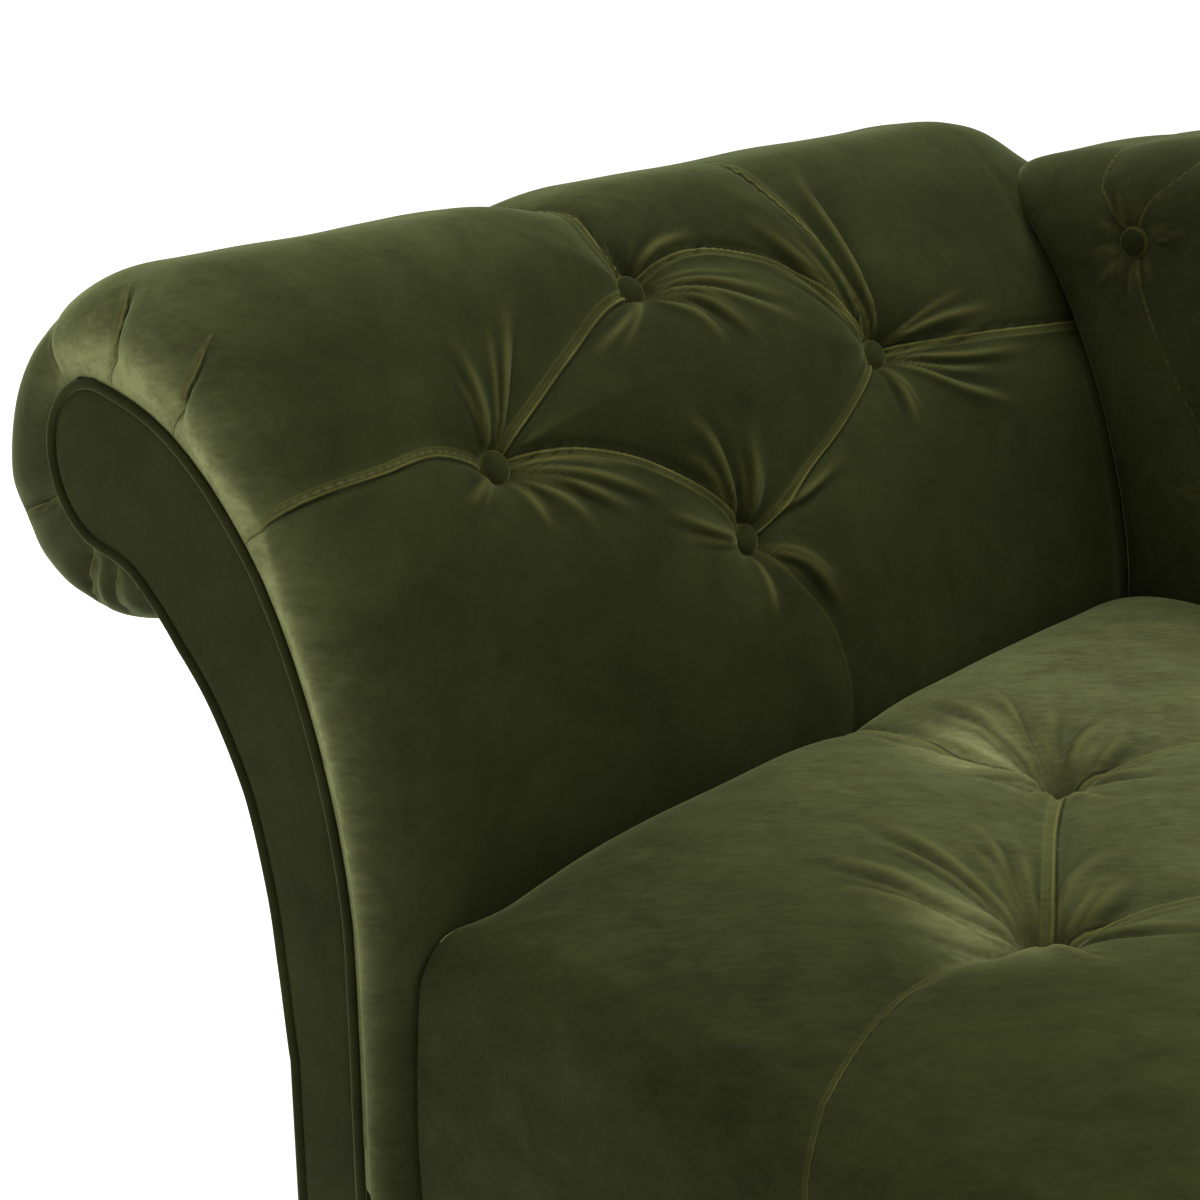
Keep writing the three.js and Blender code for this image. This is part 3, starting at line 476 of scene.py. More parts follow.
def normals(surface, toward, where=...):
    """Unit normals of a grid of points, on the side that a direction points to at some of its places."""
    normal = np.cross(np.gradient(surface, axis=0), np.gradient(surface, axis=1))
    normal /= np.maximum(np.linalg.norm(normal, axis=-1), 1e-9)[..., None]
    return normal * np.sign((normal[where] @ np.asarray(toward, float)).mean())


# Materials
def inputs_of(node, values):
    for key, value in values.items():
        node.inputs[key].default_value = value


class Look:
    """A material under construction."""

    def __init__(self, name):
        self.material = bpy.data.materials.new(name)
        self.material.use_nodes = True
        self.tree = self.material.node_tree
        self.shader = self.tree.nodes["Principled BSDF"]
        self.place = self.add("ShaderNodeTexCoord").outputs["Object"]

    def add(self, kind, settings=None, **links):
        node = self.tree.nodes.new(kind)
        for key, value in (settings or {}).items():
            if key in node.inputs:
                node.inputs[key].default_value = value
            else:
                setattr(node, key, value)
        for key, source in links.items():
            self.tree.links.new(source, node.inputs[key.replace("_", " ")])
        return node

    def link(self, source, target):
        self.tree.links.new(source, target)

    def mapped(self, settings):
        return self.add("ShaderNodeMapping", settings, Vector=self.place).outputs["Vector"]

    def brushed(self, grain):
        """Coordinates for strokes that run across the seat, turned from its front edge as it was brushed."""
        turn = (0, 0, math.radians(STROKE_TURN))
        return self.mapped({"vector_type": "TEXTURE", "Rotation": turn, "Scale": grain})

    def noise(self, scale, detail=3.0, rough=0.55, distortion=0.0, vector=None):
        settings = {"Scale": scale, "Detail": detail, "Roughness": rough, "Distortion": distortion}
        return self.add("ShaderNodeTexNoise", settings, Vector=vector or self.place).outputs["Fac"]

    def span(self, value, low, high, to_low=0.0, to_high=1.0):
        settings = {"From Min": low, "From Max": high, "To Min": to_low, "To Max": to_high}
        return self.add("ShaderNodeMapRange", settings, Value=value).outputs["Result"]

    def calc(self, operation, a, b=0.0):
        node = self.add("ShaderNodeMath", {"operation": operation})
        for k, value in enumerate((a, b)):
            if isinstance(value, (int, float)):
                node.inputs[k].default_value = value
            else:
                self.link(value, node.inputs[k])
        return node.outputs[0]

    def sum(self, a, b):
        return self.calc("ADD", a, b)

    def times(self, a, b):
        return self.calc("MULTIPLY", a, b)

    def mix(self, share, first, second):
        node = self.add("ShaderNodeMix", {"data_type": "RGBA"})
        self.link(share, node.inputs["Factor"])
        for socket, value in ((node.inputs[6], first), (node.inputs[7], second)):
            if isinstance(value, tuple):
                socket.default_value = (*value, 1)
            else:
                self.link(value, socket)
        return node.outputs[2]

    def attribute(self, name):
        return self.add("ShaderNodeAttribute", {"attribute_name": name}).outputs["Fac"]

    def bump(self, height, distance, strength=1.0, after=None):
        node = self.add("ShaderNodeBump", {"Distance": distance, "Strength": strength}, Height=height)
        if after:
            self.link(after, node.inputs["Normal"])
        return node.outputs["Normal"]

    def done(self, color, rough, normal=None, **constants):
        self.link(color, self.shader.inputs["Base Color"])
        self.link(rough, self.shader.inputs["Roughness"])
        if normal:
            self.link(normal, self.shader.inputs["Normal"])
        inputs_of(self.shader, {key.replace("_", " "): value for key, value in constants.items()})
        return self.material


# Velvet colours. The first three are the pile's own uneven tone, the darkest and lightest also painting shade
# in hollows and light on ridges; the next three paint a ridge highlight, a sheen and shade in creases; the
# last is the thread.
VELVET_DARK = (0.0125, 0.0148, 0.0038)
VELVET_MID = (0.0270, 0.0318, 0.0085)
VELVET_LIGHT = (0.0600, 0.0670, 0.0200)
VELVET_RIDGE_HIGHLIGHT = (0.1250, 0.1180, 0.0300)
VELVET_PAINTED_SHEEN = (0.2050, 0.2250, 0.0930)
VELVET_CREASE_SHADE = (0.0030, 0.0034, 0.0010)
THREAD = (0.0900, 0.0830, 0.0300)
# Lines painted along a sewn band, as (place, width, strength, colour) in the band's widths: three painted
# highlights and painted shade in its gap
BAND_LINES = [
    (0.0, 0.75, 0.24, VELVET_RIDGE_HIGHLIGHT),
    (-0.45, 0.22, 0.3, VELVET_RIDGE_HIGHLIGHT),
    (0.44, 0.18, 0.95, VELVET_RIDGE_HIGHLIGHT),
    (0.76, 0.22, 0.9, VELVET_CREASE_SHADE),
]
STROKE_TURN = 43.8
STREAK = (0.010, 0.0026, 0.0026)
SMEAR = (0.05, 0.016, 0.016)


def velvet_look(name, sewn):
    look = Look(name)
    patches = look.noise(5.5, 4, 0.6, 1.2)
    mottle = look.noise(34, 5, 0.65, 0.6)
    pile = look.noise(900, 2, 0.6)
    streaks = look.noise(1, 3, 0.6, vector=look.brushed(STREAK))
    smears = look.noise(1, 3, 0.6, 0.8, look.brushed(SMEAR))
    shade = look.sum(look.span(patches, 0.35, 0.68, 0.05, 0.6), look.span(mottle, 0.35, 0.7, 0, 0.35))
    strokes = look.sum(look.span(streaks, 0.3, 0.7, -0.35, 0.35), look.span(smears, 0.3, 0.7, -0.3, 0.35))
    shade = look.sum(shade, look.times(strokes, look.attribute("brush") if sewn else 0.25))
    color = look.mix(look.span(shade, 0, 1), VELVET_DARK, VELVET_MID)
    color = look.mix(look.span(shade, 0.9, 1.7, 0, 0.8), color, VELVET_LIGHT)
    normal = look.bump(mottle, 0.0009, 0.5)
    if sewn:
        # Painted light and shade from the relief: ridges lighter, hollows darker.
        fold_shading = look.attribute("fold_shading")
        # Painted sheen from the pale attribute, broken by the mottle and strokes.
        pale = look.times(look.attribute("pale"), look.span(mottle, 0.3, 0.7, 0.8, 1.15))
        pale = look.times(pale, look.span(strokes, -0.5, 0.5, 0.7, 1.3))
        # Mixed in turn: the relief's painted light and shade, the painted sheen, and each fold's painted
        # ridge highlight and gap shade.
        for value, low, high, strength, tone in (
            (fold_shading, 0.56, 0.85, 0.9, VELVET_LIGHT),
            (fold_shading, 0.78, 1.0, 0.8, VELVET_RIDGE_HIGHLIGHT),
            (fold_shading, 0.40, 0.1, 0.8, VELVET_DARK),
            (pale, 0, 1, 1, VELVET_PAINTED_SHEEN),
            (look.attribute("edge"), 0, 1, 1, VELVET_RIDGE_HIGHLIGHT),
            (look.attribute("gap"), 0, 1, 0.85, VELVET_CREASE_SHADE),
        ):
            color = look.mix(look.span(value, low, high, 0, strength), color, tone)
        # Painted highlights and a painted shade line along the sewn bands, broken here and there.
        across = look.attribute("band_across")
        broken = look.span(look.noise(26, 2), 0.35, 0.65, 0.45, 1.0)
        shown = look.times(look.attribute("band_shown"), broken)
        for at, wide, strength, tone in BAND_LINES:
            line = look.span(look.calc("ABSOLUTE", look.calc("SUBTRACT", across, at)), wide, 0, 0, strength)
            color = look.mix(look.times(line, shown), color, tone)
        stitch = look.calc("SINE", look.times(look.attribute("thread_run"), 1.1))
        on_thread = look.span(look.attribute("thread_gap"), 1.3, 0.5)
        on_thread = look.times(on_thread, look.span(stitch, -0.5, 0.1, 0.1, 0.6))
        color = look.mix(on_thread, color, THREAD)
        normal = look.bump(on_thread, 0.0005, 0.6, normal)
    normal = look.bump(pile, 0.0003, 0.35, normal)
    sheen = {"Sheen_Weight": 1.0, "Sheen_Roughness": 0.3, "Sheen_Tint": (0.235, 0.275, 0.112, 1)}
    return look.done(color, look.span(pile, 0.3, 0.7, 0.85, 1.0), normal, Specular_IOR_Level=0.06, **sheen)


def grain_look(name, dark, light, polish, grain_axis=0):
    look = Look(name)
    coarse, fine = [14] * 3, [260] * 3
    coarse[grain_axis], fine[grain_axis] = 1.2, 9
    rings = look.noise(3.0, 4, 0.6, 1.5, look.mapped({"Scale": coarse}))
    pores = look.noise(1.0, 3, 0.7, 0, look.mapped({"Scale": fine}))
    shade = look.sum(look.span(rings, 0.3, 0.7, 0, 0.8), look.span(pores, 0.35, 0.7, -0.15, 0.25))
    rough = look.span(pores, 0.3, 0.7, polish - 0.08, polish + 0.1)
    return look.done(look.mix(shade, dark, light), rough, look.bump(pores, 0.0004, 0.5))


def weave_look(name, dark, light, threads):
    look = Look(name)
    settings = {"Scale": threads, "Distortion": 0.4, "Detail": 1.0}
    warp, weft = (
        look.add("ShaderNodeTexWave", {**settings, "bands_direction": way}, Vector=look.place).outputs["Fac"]
        for way in "XY"
    )
    cloth = look.times(warp, weft)
    worn = look.noise(22, 4, 0.6)
    shade = look.sum(look.span(cloth, 0, 1, 0, 0.6), look.span(worn, 0.3, 0.7, 0, 0.4))
    rough = look.span(worn, 0.3, 0.7, 0.9 - 0.08, 0.9)
    return look.done(look.mix(shade, dark, light), rough, look.bump(cloth, 0.0005, 0.8))


def speckled_look(name, dark, light, scale, polish, metal=0.0):
    look = Look(name)
    specks = look.noise(scale, 4, 0.7)
    smear = look.noise(scale / 14, 3, 0.6, 0.5)
    shade = look.sum(look.span(specks, 0.35, 0.65, 0, 0.5), look.span(smear, 0.3, 0.7, 0, 0.5))
    rough = look.span(smear, 0.3, 0.7, polish - 0.08, polish + 0.1)
    return look.done(look.mix(shade, dark, light), rough, look.bump(specks, 0.0002, 0.4), Metallic=metal)


WOOD = ((0.30, 0.17, 0.075), (0.52, 0.34, 0.17), 0.6)
velvet = velvet_look("velvet_sewn", True)
velvet_plain = velvet_look("velvet_plain", False)
timber = grain_look("frame_timber", *WOOD)
timber_up = grain_look("frame_timber_up", *WOOD, 2)
timber_deep = grain_look("frame_timber_deep", *WOOD, 1)
polished = grain_look("polished_wood", (0.018, 0.008, 0.004), (0.060, 0.026, 0.011), 0.32, 2)
strapping = weave_look("webbing", (0.020, 0.018, 0.016), (0.090, 0.080, 0.065), 420)
lining = weave_look("lining_cloth", (0.010, 0.010, 0.010), (0.035, 0.034, 0.033), 900)
board = speckled_look("fibreboard", (0.16, 0.10, 0.05), (0.30, 0.20, 0.11), 700, 0.85)
steel = speckled_look("bolt_steel", (0.30, 0.31, 0.32), (0.55, 0.56, 0.58), 500, 0.35, 1.0)
plastic = speckled_look("glide_plastic", (0.012, 0.012, 0.012), (0.030, 0.030, 0.030), 600, 0.5)


# Arm
SMOOTHING = 41


def nearest_run(line, points):
    """For each point, the run of the closest place on the line, never going back, and smoothed."""
    away = points[:, None] - line.points[None]
    runs = np.maximum.accumulate(line.runs[np.hypot(away[..., 0], away[..., 1]).argmin(1)])
    padded = np.pad(runs, SMOOTHING // 2, mode="edge")
    return np.convolve(padded, np.ones(SMOOTHING) / SMOOTHING, "valid")


# Places on the arm's cloth are given as steps along the arm and up its girth
ARM_FRONT = -6.0
ARM_FRONT_ROUND = 42.0
ARM_FRONT_BULGE = 10.0
BULGE_GROWS = (0, 14)
BULGE_FADES = (560, 650)
ARM_STUFFING = [(260, 1.4), (120, 0.7), (60, 0.25)]
# Painted shade over the roll's outer side: where it grows, and how much it darkens
ROLL_TURNS = (590, 680)
ROLL_PAINTED_SHADE = 0.3
ARM_CLEARANCE = 4.3
RIM_CLEARANCE = 0.8
PAST_SEAT_LINE = 1.0
ARM_REAR = BACK_REAR - 1
ARM_REAR_ROUND = 130.0
ARM_REAR_SHARES = [(0, 0.1), (0.1, 0.28), (0.3, 0.52), (0.6, 0.83), (0.85, 0.97), (1, 1)]
ARM_BUTTONS = {"low": (283, 290), "front": (131, 369), "rear": (435, 369), "high": (275, 446)}
OVER_ROLL = 670.0
PANEL_TOP = 600.0
SEWN_END = 860.0
TUFT_DEPTH = 24.0
ARM_GIRTH_STEPS = ((0, 170, 4), (170, 540, 1.8), (540, 640, 2.4))
ROLL_PLEATS = [(467, 461), (535, 530), (620, 626), (766, 776), (852, 848), (884, 886)]

# Folds that run out from each button, as steps along the arm and up its girth
ARM_FOLDS = {
    "front": [
        [(8, -6), (37, -24), (60, -42)],
        [(6, -9), (24, -28), (34, -46)],
        [(10, -4), (43, -17), (84, -40)],
        [(2, -12), (6, -38)],
        [(5, 10), (20, 44), (38, 74)],
        [(-4, 11), (-6, 54)],
        [(-10, -4), (-36, -14)],
    ],
    "high": [
        [(9, -4), (40, -11), (62, -21), (92, -34)],
        [(9, -8), (42, -19), (86, -46)],
        [(7, -11), (31, -24), (50, -50)],
        [(4, -12), (19, -31), (27, -52)],
        [(-6, -10), (-24, -20), (-58, -34)],
        [(8, 9), (24, 18), (52, 22)],
    ],
    "rear": [
        [(-6, 10), (-14, 50), (-20, 84), (-30, 120)],
        [(-9, 7), (-34, 58), (-62, 96)],
        [(3, 11), (-1, 60), (-2, 100), (6, 128)],
        [(10, 4), (50, 8), (96, 6)],
        [(10, -6), (56, -18), (112, -24)],
        [(7, -10), (40, -34), (84, -52)],
        [(-2, -12), (-8, -44)],
    ],
    "low": [
        [(-6, 10), (-13, 40), (-20, 62), (-32, 78)],
        [(2, 12), (5, 32), (9, 54)],
        [(10, 6), (36, 13), (74, 25)],
        [(-11, 2), (-40, 14), (-66, 30)],
        [(8, -9), (26, -22), (44, -50)],
        [(-4, -12), (-10, -40)],
    ],
}


def arm_cloth(along, girth):
    """The arm's seams, folds and tufts over its length and its girth."""
    cloth = Cloth(along, girth)
    low, front, rear, high = ARM_BUTTONS.values()
    deep = 20.0
    valley = (deep, 13, deep)
    cloth.seam([front, (157, 367), (185, 361), (222, 345), (260, 318), low], valley, 64, 5, 2.2)
    cloth.seam([low, (305, 300), (335, 318), (370, 334), (406, 353), rear], valley, 64, 5, 2.2, -1)
    upper = [front, (145, 383), (176, 402), (205, 418), (240, 436), high]
    cloth.seam(upper, (deep, 14, deep), 64, 5.5, 2.4, -1)
    cloth.seam([high, (298, 454), (325, 456), (352, 449), (395, 424), rear], valley, 62, 5, 2.2)
    cloth.seam([low, (299, 260), (320, 228), (327, 190), (327, 150)], (12, 4, 2), 42, 2.4, 0.8, sharp=0.5)
    over = [high, (264, 474), (263, 500), (250, 535), (244, OVER_ROLL)]
    cloth.seam(over, (deep, 13, 0.5), 60, 5, 2.0, -1)
    cloth.seam([high, (268, 476), (278, 500)], (2, 1, 0), 8, 4, 1.2)
    cloth.seam([rear, (428, 400), (420, 440), (411, 475), (398, 530)], (deep, 9, 0), 56, 4.5)
    cloth.seam([front, (90, 383), (50, 381), (0, 380), (-54, 379)], (deep, 7, 10), 54, 4.5, 1.8, thread=True)
    cloth.seam([rear, (479, 363), (537, 357), (600, 350), (700, 340)], (deep, 9, 10), 54, 5, 2.0)
    cloth.seam([(SEAT_DEPTH, 60), (SEAT_DEPTH, 300), (SEAT_DEPTH, 500)], (3.5, 3.5, 0), 20)
    for start, end in ROLL_PLEATS:
        on_panel = start < PANEL_TOP
        knots = [(8, start + 3), (-12, (start + end) / 2), (-54, end)]
        cloth.seam(knots, (0.5, 10, 18) if on_panel else (1, 9, 14), 30, 4.5, 2.6, thread=on_panel)
    for key, place in ARM_BUTTONS.items():
        cloth.tuft(place, TUFT_DEPTH, 50, ARM_FOLDS[key], 9.0, 3.8)
    return cloth


def sewn_pad(node, outer, inner, step, cloth, height, pale, brush):
    """A pad's piece: its closed grid, what its velvet reads and how full it is."""
    points, faces, hidden = slab(outer, inner, step)
    attributes = cloth.attributes(height, pale, hidden, brush)
    piece = build(f"{node}_velvet", points, faces, velvet, node, SLAB_EDGE, attributes)


def arm_rear_share(back):
    """How full the arm's padding is at its rounded rear end, from shares of the rounding."""
    line = spline(ARM_REAR_SHARES, 12)
    return np.interp(back, line[:, 0], line[:, 1])


def arm_edge(base, clearance):
    """Where the padding ends on the timber scroll, for each place of the girth."""
    scroll = Line(closed_scroll(clearance, PAD_BASE))
    edge = scroll.at(nearest_run(scroll, base))
    edge[:, 1] = np.maximum(edge[:, 1], PAD_BASE)
    edge[0] = (-NECK_CENTRE + NECK_HALF + clearance, PAD_BASE)
    return edge


def arm_pad():
    start = math.radians(-20)
    turns = np.linspace(start, np.pi / 2, 30)
    lift = (np.sin(turns) - math.sin(start)) / (1 - math.sin(start))
    front_y = ARM_FRONT + ARM_FRONT_ROUND * (1 - np.cos(turns))
    middle = ticks((front_y[-1], 500, 1.8), (500, ARM_REAR - ARM_REAR_ROUND, 2.6))[1:-1]
    rear = np.linspace(0, 1, 60) ** 1.4
    rear_y = (ARM_REAR - ARM_REAR_ROUND * rear)[::-1]
    y = np.concatenate([front_y, middle, rear_y])
    nearness = np.clip((front_y[-1] - y) / ARM_FRONT_ROUND, 0, 1)[:, None]
    full = np.concatenate([lift, np.ones(len(middle)), arm_rear_share(rear)[::-1]])
    full = np.maximum(full, 0.02)[:, None]
    front_run = front_y[-1] - ARM_FRONT_ROUND * (np.pi / 2 - turns)
    along = np.concatenate([front_run, middle, rear_y])
    girth = ticks(*ARM_GIRTH_STEPS, (640, arm_line.length, 3))
    base = arm_line.at(girth)
    edges = np.repeat(arm_edge(base, ARM_CLEARANCE)[None], len(y), 0)
    edges[0] = arm_edge(base, RIM_CLEARANCE)
    u, v = np.meshgrid(along, girth, indexing="ij")
    y = y[:, None] - ARM_FRONT_BULGE * nearness * ease(v, *BULGE_GROWS) * (1 - 0.85 * ease(v, *BULGE_FADES))
    cloth = arm_cloth(u, v)
    # Painted shade: the velvet darkened over the outer side of the roll.
    cloth.painted_shade = ROLL_PAINTED_SHADE * ease(v, *ROLL_TURNS)
    height = cloth.height(ARM_STUFFING, 5)
    height *= 1 - ease(v, SEWN_END, arm_line.length - 6)
    height *= ease(v, 0, 60)
    height *= ease(full, 0, 0.25)
    bulge = base[None] * full[..., None] + edges * (1 - full)[..., None]
    body = np.stack([bulge[..., 0], y, bulge[..., 1]], -1)
    hollow_face = (v > 100) & (v < 400) & (u > 100) & (u < 500)
    outer = body + normals(body, (1, 0, 0), hollow_face) * height[..., None]
    outer[:, 0, 2] = PAD_BASE
    outer[..., 0] = np.minimum(outer[..., 0], PAST_SEAT_LINE)
    inner = np.stack([edges[..., 0], y, edges[..., 1]], -1)
    # Painted sheen: a pale band along the front rim, weaker low down and nearly gone over the roll, and a
    # broad painted top light on the upper girth, strongest towards the front.
    from_rim = u - along[0]
    painted_sheen = mark(from_rim, 0.46, 8, 13) + 0.42 * np.exp(-((from_rim / 36) ** 1.7))
    painted_sheen *= 0.35 + 0.65 * ease(v, 60, 280)
    painted_sheen *= 1 - 0.9 * ease(v, 560, 660)
    painted_sheen += 0.16 * ease(v, 440, 540) * (1 - ease(v, 600, 700)) * (1 - 0.6 * ease(u, 150, 400))
    sewn_pad("arm_pad", outer, inner, 12, cloth, height, painted_sheen, 0.2)
    for key, (place_along, up) in ARM_BUTTONS.items():
        out, at = arm_line.out(np.array(up), 10), arm_line.at(np.array(up))
        sunk = TUFT_DEPTH - 1.0
        centre = (at[0] - out[0] * sunk, place_along, at[1] - out[1] * sunk)
        button(f"arm_button_{key}_velvet", centre, (out[0], 0, out[1]), f"arm_button_{key}")


def arm_inner_x(y, z):
    """Where the arm's inside face stands at a place of the back, its rounded rear end included."""
    sides = []
    for face in (arm_line.points, closed_scroll(ARM_CLEARANCE, PAD_BASE)):
        rising = face[: np.argmax(face[:, 1]) + 1]
        sides.append(np.interp(z, np.maximum.accumulate(rising[:, 1]), rising[:, 0]))
    share = arm_rear_share((ARM_REAR - y) / ARM_REAR_ROUND)
    return sides[0] * share + sides[1] * (1 - share)


BUTTON_RADIUS = 10.0
BUTTON_PROFILE = [
    (0.0, -0.45), (0.62, -0.45), (0.9, -0.28), (1.0, 0.0), (0.96, 0.22),
    (0.84, 0.4), (0.66, 0.52), (0.42, 0.6), (0.2, 0.635), (0.0, 0.645),
]


def turned(profile, radius, height, centre, axis, sides):
    """Points and faces of a turned body along an axis."""
    axis = np.asarray(axis, float) / np.linalg.norm(axis)
    across = np.cross(axis, (0, 1, 0) if abs(axis[1]) < 0.9 else (1, 0, 0))
    across /= np.linalg.norm(across)
    other = np.cross(axis, across)
    points, rings = [], []
    for r, h in profile:
        ring = []
        for k in range(sides if r else 1):
            a = 2 * np.pi * k / sides
            ring.append(len(points))
            side = across * math.cos(a) + other * math.sin(a)
            points.append(centre + axis * h * height + side * r * radius)
        rings.append(ring)
    faces = []
    for a, b in zip(rings[:-1], rings[1:]):
        for k in range(sides):
            corners = [a[k % len(a)], a[(k + 1) % len(a)], b[(k + 1) % len(b)], b[k % len(b)]]
            corners = list(dict.fromkeys(corners))
            if len(corners) > 2:
                faces.append(corners)
    return np.array(points), faces


def button(name, centre, axis, node=None):
    profile = spline(BUTTON_PROFILE, 2)
    profile[:, 0] = np.maximum(profile[:, 0], 0)
    centre, axis = np.array(centre), np.asarray(axis, float)
    points, faces = turned(profile.tolist(), BUTTON_RADIUS, BUTTON_RADIUS, centre, axis, 40)
    from_axis = np.linalg.norm(np.cross(points - centre, axis), axis=1) / BUTTON_RADIUS
    # A painted highlight round the button's rim; the relief's painted light and shade stay neutral.
    rim = {"fold_shading": np.full(len(points), 0.55), "edge": mark(from_axis, 0.5, 0.93, 0.09)}
    rim["thread_gap"] = np.full(len(points), FAR)
    build(name, points, faces, velvet, node, attributes=rim)


# Seat
COLUMN_PITCH = 178.0
ROW_PITCH = 149.0
HEAD_MARGIN = 118.0
FRONT_MARGIN = 200.0
SEAT_COLUMNS = 7
SEAT_ROWS = 3
SEAT_TUFT_DEPTH = 42.0
SEAT_PAD_BASE = 1.0
SEAT_LIFT = 4.0
SEAT_STUFFING = [(300, 1.6), (130, 0.9), (60, 0.3)]
# Strengths of the seat's painted sheen and of the painted highlight patches by its buttons
SEAT_PAINTED_SHEEN = 0.27
PATCH_PAINTED_SHEEN = 0.62

# Folds that run out from a seat button, as steps towards the foot and the rear
SEAT_FOLDS = [
    [(-10, 2), (-30, 9), (-50, 22), (-74, 30)],
    [(-10, -2), (-34, -2), (-62, 2), (-90, 6)],
    [(-7, 8), (-18, 18), (-34, 40)],
    [(-3, 10), (-7, 30), (-4, 52)],
    [(4, 10), (8, 30), (10, 50)],
    [(-8, -7), (-30, -24), (-56, -30), (-88, -36)],
    [(-5, -9), (-22, -36), (-46, -46), (-78, -58)],
    [(-2, -10), (-12, -44), (-34, -66)],
    [(10, 4), (28, 6), (54, 16)],
    [(8, -8), (22, -24), (52, -34)],
    [(3, -11), (10, -34), (12, -60)],
]

SEAT_FRONT_SEAM = [(0, 0), (-9, 48), (-9, 83), (-6, 120), (2, 154), (8, 174), (17, 212), (26, 260), (40, 350)]


def seat_places():
    places = []
    for row in range(SEAT_ROWS):
        start = HEAD_MARGIN + (COLUMN_PITCH / 2 if row % 2 == 0 else 0)
        for column in range(SEAT_COLUMNS):
            places.append((start + column * COLUMN_PITCH, FRONT_MARGIN + row * ROW_PITCH, row, column))
    return places


def seat_cloth(u, v):
    """The seat's seams, folds and tufts over its length and depth, its front and foot faces unrolled."""
    cloth = Cloth(u, v)
    deep, shallow = 32.0, 15.0
    places = seat_places()
    for k, (x, y, row, column) in enumerate(places):
        for bx, by, other, _ in places:
            if other == row + 1 and abs(bx - x) < COLUMN_PITCH * 0.75:
                toward = 1 if bx > x else -1
                middle = ((x + bx) / 2 + 4 * toward, (y + by) / 2)
                cloth.seam([(x, y), middle, (bx, by)], (deep, shallow, deep), 78, 5.5, 2.6, toward)
        if row == 0:
            cloth.seam([(x + a, y - b) for a, b in SEAT_FRONT_SEAM], (deep, 9, 6), 70, 2.4, 0.9, sharp=0.5)
        if row == SEAT_ROWS - 1:
            cloth.seam([(x, y), (x, SEAT_DEPTH + 30)], (deep, 13, 15), 62, 5)
        if row % 2 == 1 and column == 0:
            to_arm = [(x, y), (86, y - 33), (50, y - 36), (4, y - 36)]
            cloth.seam(to_arm, (deep, shallow, 10), 70, 5.5, 2.6, -1)
        if row % 2 == 0 and column == SEAT_COLUMNS - 1:
            cloth.seam([(x, y), (SEAT_LENGTH + 160, y)], (deep, 6, 5), 60, 4)
        folds = SEAT_FOLDS
        if (column + row) % 3 == 2:
            folds = [[(-a, b) for a, b in line] for line in SEAT_FOLDS[::2]]
        seed = None if (row, column) == (1, 0) else 100 + k
        cloth.tuft((x, y), SEAT_TUFT_DEPTH, 80, folds, 10.0, 4.6, seed)
    return cloth


